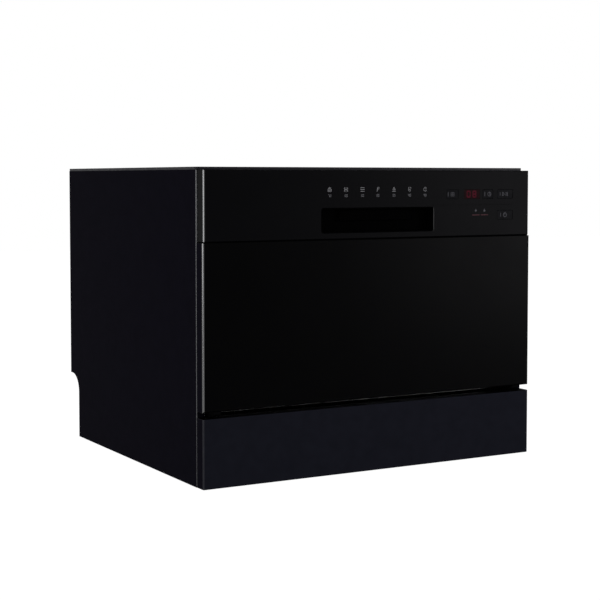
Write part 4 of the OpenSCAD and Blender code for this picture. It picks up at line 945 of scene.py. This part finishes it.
@dataclass
class FrontDoor:
    """The drop-down door: outer panels, inner pan, latch and dispenser."""

    shop: Workshop
    pan_y: float = -214.0
    screw_x: float = 253.0
    screw_z: tuple[float, ...] = (132.0, 222.0, 312.0, 402.0)
    seam_z: tuple[float, float] = (336.05, 337.45)
    seam_y: tuple[float, float] = (-246.5, -232.0)
    seam_x: float = 273.6

    def build(self) -> None:
        """Makes every piece of the door but its marks."""
        # Painted shade in the seam under the control panel.
        self.seam_shade_strip()
        # Painted highlight: the left front corner takes a lighter, glossier finish.
        front = self.shop.soften("door_panel", GLOSS_FRONT, 0.3, corner=FRONT_CORNER_HIGHLIGHT)
        # Painted shade: the door panel's left side takes the darker, duller side paint.
        self.shop.tint(front, SATIN_PAINT_AND_SIDE_SHADE, is_shaded_left_side)
        # Painted highlights on the control panel's left front corner and on the pocket's right
        # edge.
        panel = self.shop.soften("control_panel", GLOSS_PANEL, 0.3, corner=FRONT_CORNER_HIGHLIGHT)
        self.shop.tint(panel, POCKET_EDGE_HIGHLIGHT, is_highlit_pocket_corner)
        # The pocket's near-black finish is painted shade in the recess.
        self.shop.soften("handle_pocket", POCKET_BLACK_AND_SHADE, 0.3)
        self.shop.soften("display_window", LENS_RED, 0.2)
        pan = self.shop.soften("door_liner", STAINLESS_DOOR, 0.35)
        # Painted highlight: the flange ends of the stainless pan take the black fold finish.
        self.shop.tint(pan, PAINT_FOLD_HIGHLIGHT, is_highlit_flange_end)
        self.shop.soften_all((
            # The latch in the pocket takes the same painted shade.
            ("latch_lever", POCKET_BLACK_AND_SHADE, 0.3),
            ("dispenser_body", GREY_SATIN, 0.3),
            ("dispenser_lid", WHITE_SATIN, 0.4),
            ("rinse_aid_cap", MATT_BLACK, 0.3),
            ("hinge_arm_left hinge_arm_right", BLACK_ZINC, 0.0),
            ("latch_bracket", ZINC, 0.0),
            ("control_board", BOARD_GREEN, 0.0),
            ("program_key delay_key start_key power_key", KEY_GLOSS, 0.15),
        ))
        places = [(side * self.screw_x, z) for side in (-1, 1) for z in self.screw_z]
        heads = ScrewRow(places, self.pan_y, 3.0, 1.35)
        self.shop.publish(heads.build(), "liner_screw_heads", "door", SCREW_STEEL,
                          stands_for=("liner_screws",))

    def seam_shade_strip(self) -> None:
        """Lays a near-black strip in the seam between the door panel and the control panel:
        painted shade.
        """
        middle = Matrix.Translation((0.0, sum(self.seam_y) / 2.0, sum(self.seam_z) / 2.0))
        size = Matrix.Diagonal((2.0 * self.seam_x, self.seam_y[1] - self.seam_y[0],
                                self.seam_z[1] - self.seam_z[0], 1.0))
        bm = bmesh.new()
        bmesh.ops.create_cube(bm, size=1.0, matrix=middle @ size)
        self.shop.publish(bm, "seam_shade_strip", "door", SEAM_SHADE_BLACK)


@dataclass
class PanelMarks:
    """Printed symbols and numbers, the display's digits and the marks on the keys.

    Places are X and Z on the door.
    """

    shop: Workshop
    panel_y: float = -249.6
    key_y: float = -249.4
    lens_y: float = -249.5
    icon_z: float = 406.6
    icon_x: tuple[float, ...] = (-78.0, -51.3, -24.1, 1.7, 29.0, 55.8, 82.9)
    degrees: tuple[str, ...] = ("70", "65", "60", "55", "50", "45", "40")
    number_z: float = 396.4
    number_h: float = 3.2
    number_half: float = 1.9
    number_stroke: float = 0.62
    stroke: float = 0.6
    symbol_scale: float = 0.86
    line_x: Place = (95.5, 242.8)
    line_z: float = 383.3
    line_stroke: float = 0.7
    line_depth: float = 0.05
    lights: tuple[tuple[Place, float], ...] = (((174.3, 374.7), 1.6), ((190.1, 374.5), 1.7))
    ray: tuple[Place, ...] = ((-0.5, 1.4), (0.0, 2.8), (0.5, 1.4))
    ray_stroke: float = 0.5
    bars_x: tuple[Place, ...] = ((168.4, 180.6), (184.2, 196.2))
    bars_z: float = 368.2
    bar_stroke: float = 1.1
    digits: str = "08"
    digits_at: Place = (158.3, 394.8)
    digits_h: float = 8.6
    digits_stroke: float = 1.6
    digits_share: float = 0.62
    digits_depth: float = 0.06

    def build(self) -> None:
        """Makes all the marks."""
        self.programmes()
        self.lines()
        self.display()
        self.key_marks()

    def symbols(self) -> list[list[list[Place]]]:
        """Returns the strokes of the seven programme symbols, round their middles."""
        pan = [[(-3.2, 1.0), (-3.2, -3.2), (3.2, -3.2), (3.2, 1.0), (-3.2, 1.0)],
               [(-2.2, 2.6), (2.2, 2.6)], [(0.0, 2.6), (0.0, 3.6)], [(-2.0, -1.0), (2.0, -1.0)]]
        plates = [[(-3.0, 3.2), (-3.0, -3.2)], [(0.0, 3.2), (0.0, -3.2)],
                  [(3.0, 3.2), (3.0, -3.2)], [(-3.0, 0.0), (3.0, 0.0)]]
        cups = [[(-3.6, 3.0), (3.6, 3.0)], [(-3.6, 0.0), (3.6, 0.0)], [(-3.6, -3.0), (3.6, -3.0)]]
        leaf = [[(-1.6, 0.4), (0.0, 3.4), (2.8, 3.6), (2.2, 0.8), (-1.6, 0.4)],
                [(-0.2, 1.8), (-1.6, -3.4)]]
        glass = [[(-2.4, -0.8), (0.2, 3.6), (2.6, -0.8), (-2.4, -0.8)],
                 [(-3.2, -3.2), (3.2, -3.2)]]
        quick = [[(-1.6, 3.6), (-1.6, -3.0), (2.0, -3.0), (2.4, -0.4), (-1.6, 0.0)],
                 [(1.0, 3.4), (3.2, 1.8)]]
        soak = [[(2.6, 2.4), (0.2, 3.4), (-2.6, 1.2), (-2.6, -1.6), (0.2, -3.4), (2.8, -2.0)],
                [(0.4, 0.6), (3.0, 0.6)]]
        return [pan, plates, cups, leaf, glass, quick, soak]

    def programmes(self) -> None:
        """Prints the row of symbols, with a plain number under each."""
        print_row = Stencil(self.panel_y)
        numbers = Stencil(self.panel_y)
        for x, strokes, number in zip(self.icon_x, self.symbols(), self.degrees):
            for stroke in strokes:
                small = [(x1 * self.symbol_scale, z1 * self.symbol_scale) for x1, z1 in stroke]
                print_row.path((x, self.icon_z), small, self.stroke)
            numbers.number(number, (x - self.number_half, self.number_z), self.number_h,
                           self.number_stroke)
        self.shop.publish(print_row.bm, "programme_symbols", "door", PALE_PRINT)
        self.shop.publish(numbers.bm, "programme_numbers", "door", DIM_PRINT)

    def lines(self) -> None:
        """Prints the line under the keys and the two indicator marks with their bars."""
        left, right = self.line_x
        groove = Stencil(self.panel_y, thickness=self.line_depth)
        groove.bar((left, self.line_z), (right, self.line_z), self.line_stroke)
        self.shop.publish(groove.bm, "panel_line", "door", DARK_LINE)
        lights = Stencil(self.panel_y)
        for centre, radius in self.lights:
            lights.dot(centre, radius)
        for centre, _ in self.lights:
            lights.path(centre, self.ray, self.ray_stroke)
        self.shop.publish(lights.bm, "indicator_lights", "door", KEY_PRINT)
        bars = Stencil(self.panel_y)
        for left, right in self.bars_x:
            bars.bar((left, self.bars_z), (right, self.bars_z), self.bar_stroke)
        self.shop.publish(bars.bm, "indicator_bars", "door", WARM_PRINT)

    def display(self) -> None:
        """Lights the two digits behind the lens."""
        digits = Stencil(self.lens_y, thickness=self.digits_depth)
        digits.number(self.digits, self.digits_at, self.digits_h, self.digits_stroke,
                      wide=self.digits_share, space=self.digits_share)
        self.shop.publish(digits.bm, "display_digits", "door", RED_DIGITS)

    def key_marks(self) -> None:
        """Prints a mark on each of the four keys."""
        program, delay, start, power = (Stencil(self.key_y) for _ in range(4))
        low, high, left, right = 396.4, 401.6, 129.2, 134.8
        program.bar((124.2, low), (124.2, high), 0.9)
        for x in (left, 132.0, right):
            program.bar((x, low), (x, high), 0.8)
        for z in (low, 399.0, high):
            program.bar((left, z), (right, z), 0.7)
        clock, ring = (199.2, 399.0), (228.6, 367.8)
        delay.bar((190.8, 396.2), (190.8, 401.8), 0.9)
        delay.ring(clock, 2.9, 0.8)
        delay.path(clock, [(0.0, 2.0), (0.0, 0.0), (1.4, -0.8)], 0.6)
        start.path((226.2, 399.0), [(-2.4, 2.8), (-2.4, -2.8), (1.4, 0.0), (-2.4, 2.8)], 0.8)
        for x in (230.4, 232.8):
            start.bar((x, low), (x, high), 0.9)
        start.bar((219.4, 396.8), (219.4, 401.2), 0.6)
        power.ring(ring, 3.0, 0.8)
        power.bar((ring[0], 368.6), (ring[0], 371.6), 0.8)
        power.bar((220.4, 365.4), (220.4, 370.4), 0.6)
        marks = {"program": program, "delay": delay, "start": start, "power": power}
        for key, mark in marks.items():
            self.shop.publish(mark.bm, f"{key}_key_mark", f"{key}_key", KEY_PRINT)


# ---------------- rack


@dataclass
class DishRack:
    """The welded wire rack, its wheels, the cup shelf and the cutlery basket."""

    shop: Workshop
    tine_x: float = -190.0
    tine_pitch: float = 28.0
    tine_count: int = 11
    tine_rows: tuple[float, ...] = (-58.8, 44.8)
    tine_top: float = 227.0
    tip_drop: float = 2.6
    tip_stretch: float = 1.5
    wire_r: float = 1.6
    coat: float = 1.06

    def build(self) -> None:
        """Makes every piece of the rack."""
        for node in ("rack_floor", "rack_front", "rack_back", "rack_left", "rack_right",
                     "tine_row_front", "tine_row_back", "cup_shelf"):
            self.shop.soften(node, NYLON_COAT, 0.0, sharp=50.0)
        self.shop.soften_all((
            ("wheel_front_left wheel_front_right wheel_rear_left wheel_rear_right",
             GREY_SATIN, 0.6),
            ("cutlery_basket", GREY_SATIN, 0.3),
        ))
        self.tips()

    def tips(self) -> None:
        """Adds the dipped round tips of the tines."""
        bm = bmesh.new()
        for y in self.tine_rows:
            for number in range(self.tine_count):
                place = Matrix.Translation((self.tine_x + number * self.tine_pitch, y,
                                            self.tine_top - self.tip_drop))
                shape = Matrix.Diagonal((1.0, 1.0, self.tip_stretch, 1.0))
                bmesh.ops.create_uvsphere(bm, u_segments=12, v_segments=8,
                                          radius=self.wire_r * self.coat, matrix=place @ shape)
        self.shop.publish(bm, "tine_tips", "rack", NYLON_COAT)


# ---------------- studio


@dataclass(frozen=True)
class Lamp:
    """A large soft lamp."""

    name: str
    at: Point
    aim: Point
    size: float
    watts: float
    tint: Point = (1.0, 1.0, 1.0)

    def place(self) -> None:
        """Hangs the lamp and turns it to its aim."""
        light = bpy.data.lights.new(self.name, "AREA")
        light.shape = "SQUARE"
        light.size = self.size
        light.energy = self.watts
        light.color = self.tint
        holder = bpy.data.objects.new(self.name, light)
        holder.location = self.at
        way = Vector(self.aim) - Vector(self.at)
        holder.rotation_euler = way.to_track_quat("-Z", "Y").to_euler()
        bpy.context.scene.collection.objects.link(holder)


@dataclass
class Studio:
    """The camera, the pale floor, the white background and the lamps."""

    camera_at: Point = (-1.09147, -1.951761, 0.421532)
    yaw: float = 0.51614
    pitch: float = 0.054599
    lens: float = 85.115
    sensor: float = 36.0
    shift_y: float = -0.0726
    far_clip: float = 50.0
    floor_reach: float = 6.0
    floor_tone: float = 0.3
    floor_glow: float = 1.2
    floor_share: float = 0.84
    ambient: float = 0.62
    sky: Point = (0.98, 0.985, 1.0)
    lamps: tuple[Lamp, ...] = (
        Lamp("left_softbox", (-2.5, -1.15, 0.82), (0.0, -0.1, 0.25), 1.6, 52.0,
             (0.97, 0.98, 1.0)),
        Lamp("right_softbox", (1.75, -1.75, 0.56), (0.1, -0.25, 0.25), 1.1, 33.0,
             (0.98, 0.96, 1.0)),
        Lamp("back_softbox", (0.6, 2.4, 2.4), (0.0, 0.0, 0.2), 1.6, 18.0),
    )

    def build(self) -> None:
        """Makes the studio."""
        self.camera()
        self.background()
        self.floor()
        for lamp in self.lamps:
            lamp.place()

    def camera(self) -> None:
        """Puts the camera about where the photograph was taken from."""
        lens = bpy.data.cameras.new("camera")
        lens.lens = self.lens
        lens.sensor_width = self.sensor
        lens.shift_y = self.shift_y
        lens.clip_end = self.far_clip
        holder = bpy.data.objects.new("camera", lens)
        holder.location = self.camera_at
        holder.rotation_euler = (math.pi / 2.0 - self.pitch, 0.0, -self.yaw)
        bpy.context.scene.collection.objects.link(holder)
        bpy.context.scene.camera = holder
        bpy.context.scene.view_settings.view_transform = "Standard"

    @staticmethod
    def seen_directly(graph: Graph) -> Socket:
        """Adds a switch that is 1 for what the camera, a gloss or a glass sees.

        Args:
            graph: The nodes that take it.

        Returns:
            The switch's value.
        """
        path = graph.add("LightPath")
        seen = path.outputs["Is Camera Ray"]
        for ray in ("Is Glossy Ray", "Is Transmission Ray"):
            either = graph.add("Math")
            either.operation = "MAXIMUM"
            graph.link(seen, either, 0)
            graph.link(path.outputs[ray], either, 1)
            seen = either.outputs["Value"]
        return seen

    @staticmethod
    def mixed(graph: Graph, share: Socket, first: bpy.types.Node,
              second: bpy.types.Node, output: str) -> None:
        """Mixes two shaders into the surface.

        Args:
            graph: The nodes.
            share: Share of the second shader.
            first: The first shader.
            second: The second shader.
            output: Type of the output node.
        """
        mix = graph.add("MixShader")
        graph.link(share, mix, 0)
        graph.link(first.outputs[0], mix, 1)
        graph.link(second.outputs[0], mix, 2)
        graph.link(mix.outputs[0], graph.add(output), "Surface")

    def background(self) -> None:
        """Makes the world: soft light on the object, and white where it is seen."""
        world = bpy.data.worlds.new("studio")
        bpy.context.scene.world = world
        world.use_nodes = True
        graph = Graph(world.node_tree)
        graph.tree.nodes.clear()
        soft = graph.add("Background", Color=(*self.sky, 1.0), Strength=self.ambient)
        white = graph.add("Background", Color=(1.0, 1.0, 1.0, 1.0), Strength=1.0)
        self.mixed(graph, self.seen_directly(graph), soft, white, "OutputWorld")

    def floor(self) -> None:
        """Lays the pale floor, which keeps a faint shadow of the object."""
        bm = bmesh.new()
        bmesh.ops.create_grid(bm, x_segments=1, y_segments=1, size=self.floor_reach)
        mesh = bpy.data.meshes.new("floor")
        bm.to_mesh(mesh)
        bm.free()
        made = bpy.data.materials.new("pale_floor")
        made.use_nodes = True
        graph = Graph(made.node_tree)
        graph.tree.nodes.clear()
        paint = graph.add("BsdfDiffuse", Color=(*(self.floor_tone,) * 3, 1.0))
        white = graph.add("Emission", Strength=self.floor_glow)
        share = graph.add("Math")
        share.operation = "MULTIPLY"
        share.inputs[1].default_value = self.floor_share
        graph.link(self.seen_directly(graph), share, 0)
        self.mixed(graph, share.outputs["Value"], paint, white, "OutputMaterial")
        mesh.materials.append(made)
        plane = bpy.data.objects.new("floor", mesh)
        bpy.context.scene.collection.objects.link(plane)


# ---------------- assembly


def main() -> None:
    """Builds the whole dressed model."""
    logging.basicConfig(level=logging.INFO, format="%(name)s: %(message)s")
    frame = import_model()
    Studio().build()
    shop = Workshop(frame)
    for part in (Cabinet(shop), WashRoom(shop), FrontDoor(shop), PanelMarks(shop),
                 DishRack(shop)):
        part.build()
    LOG.info("%d pieces made", len(shop.made))


if __name__ == "__main__":
    main()
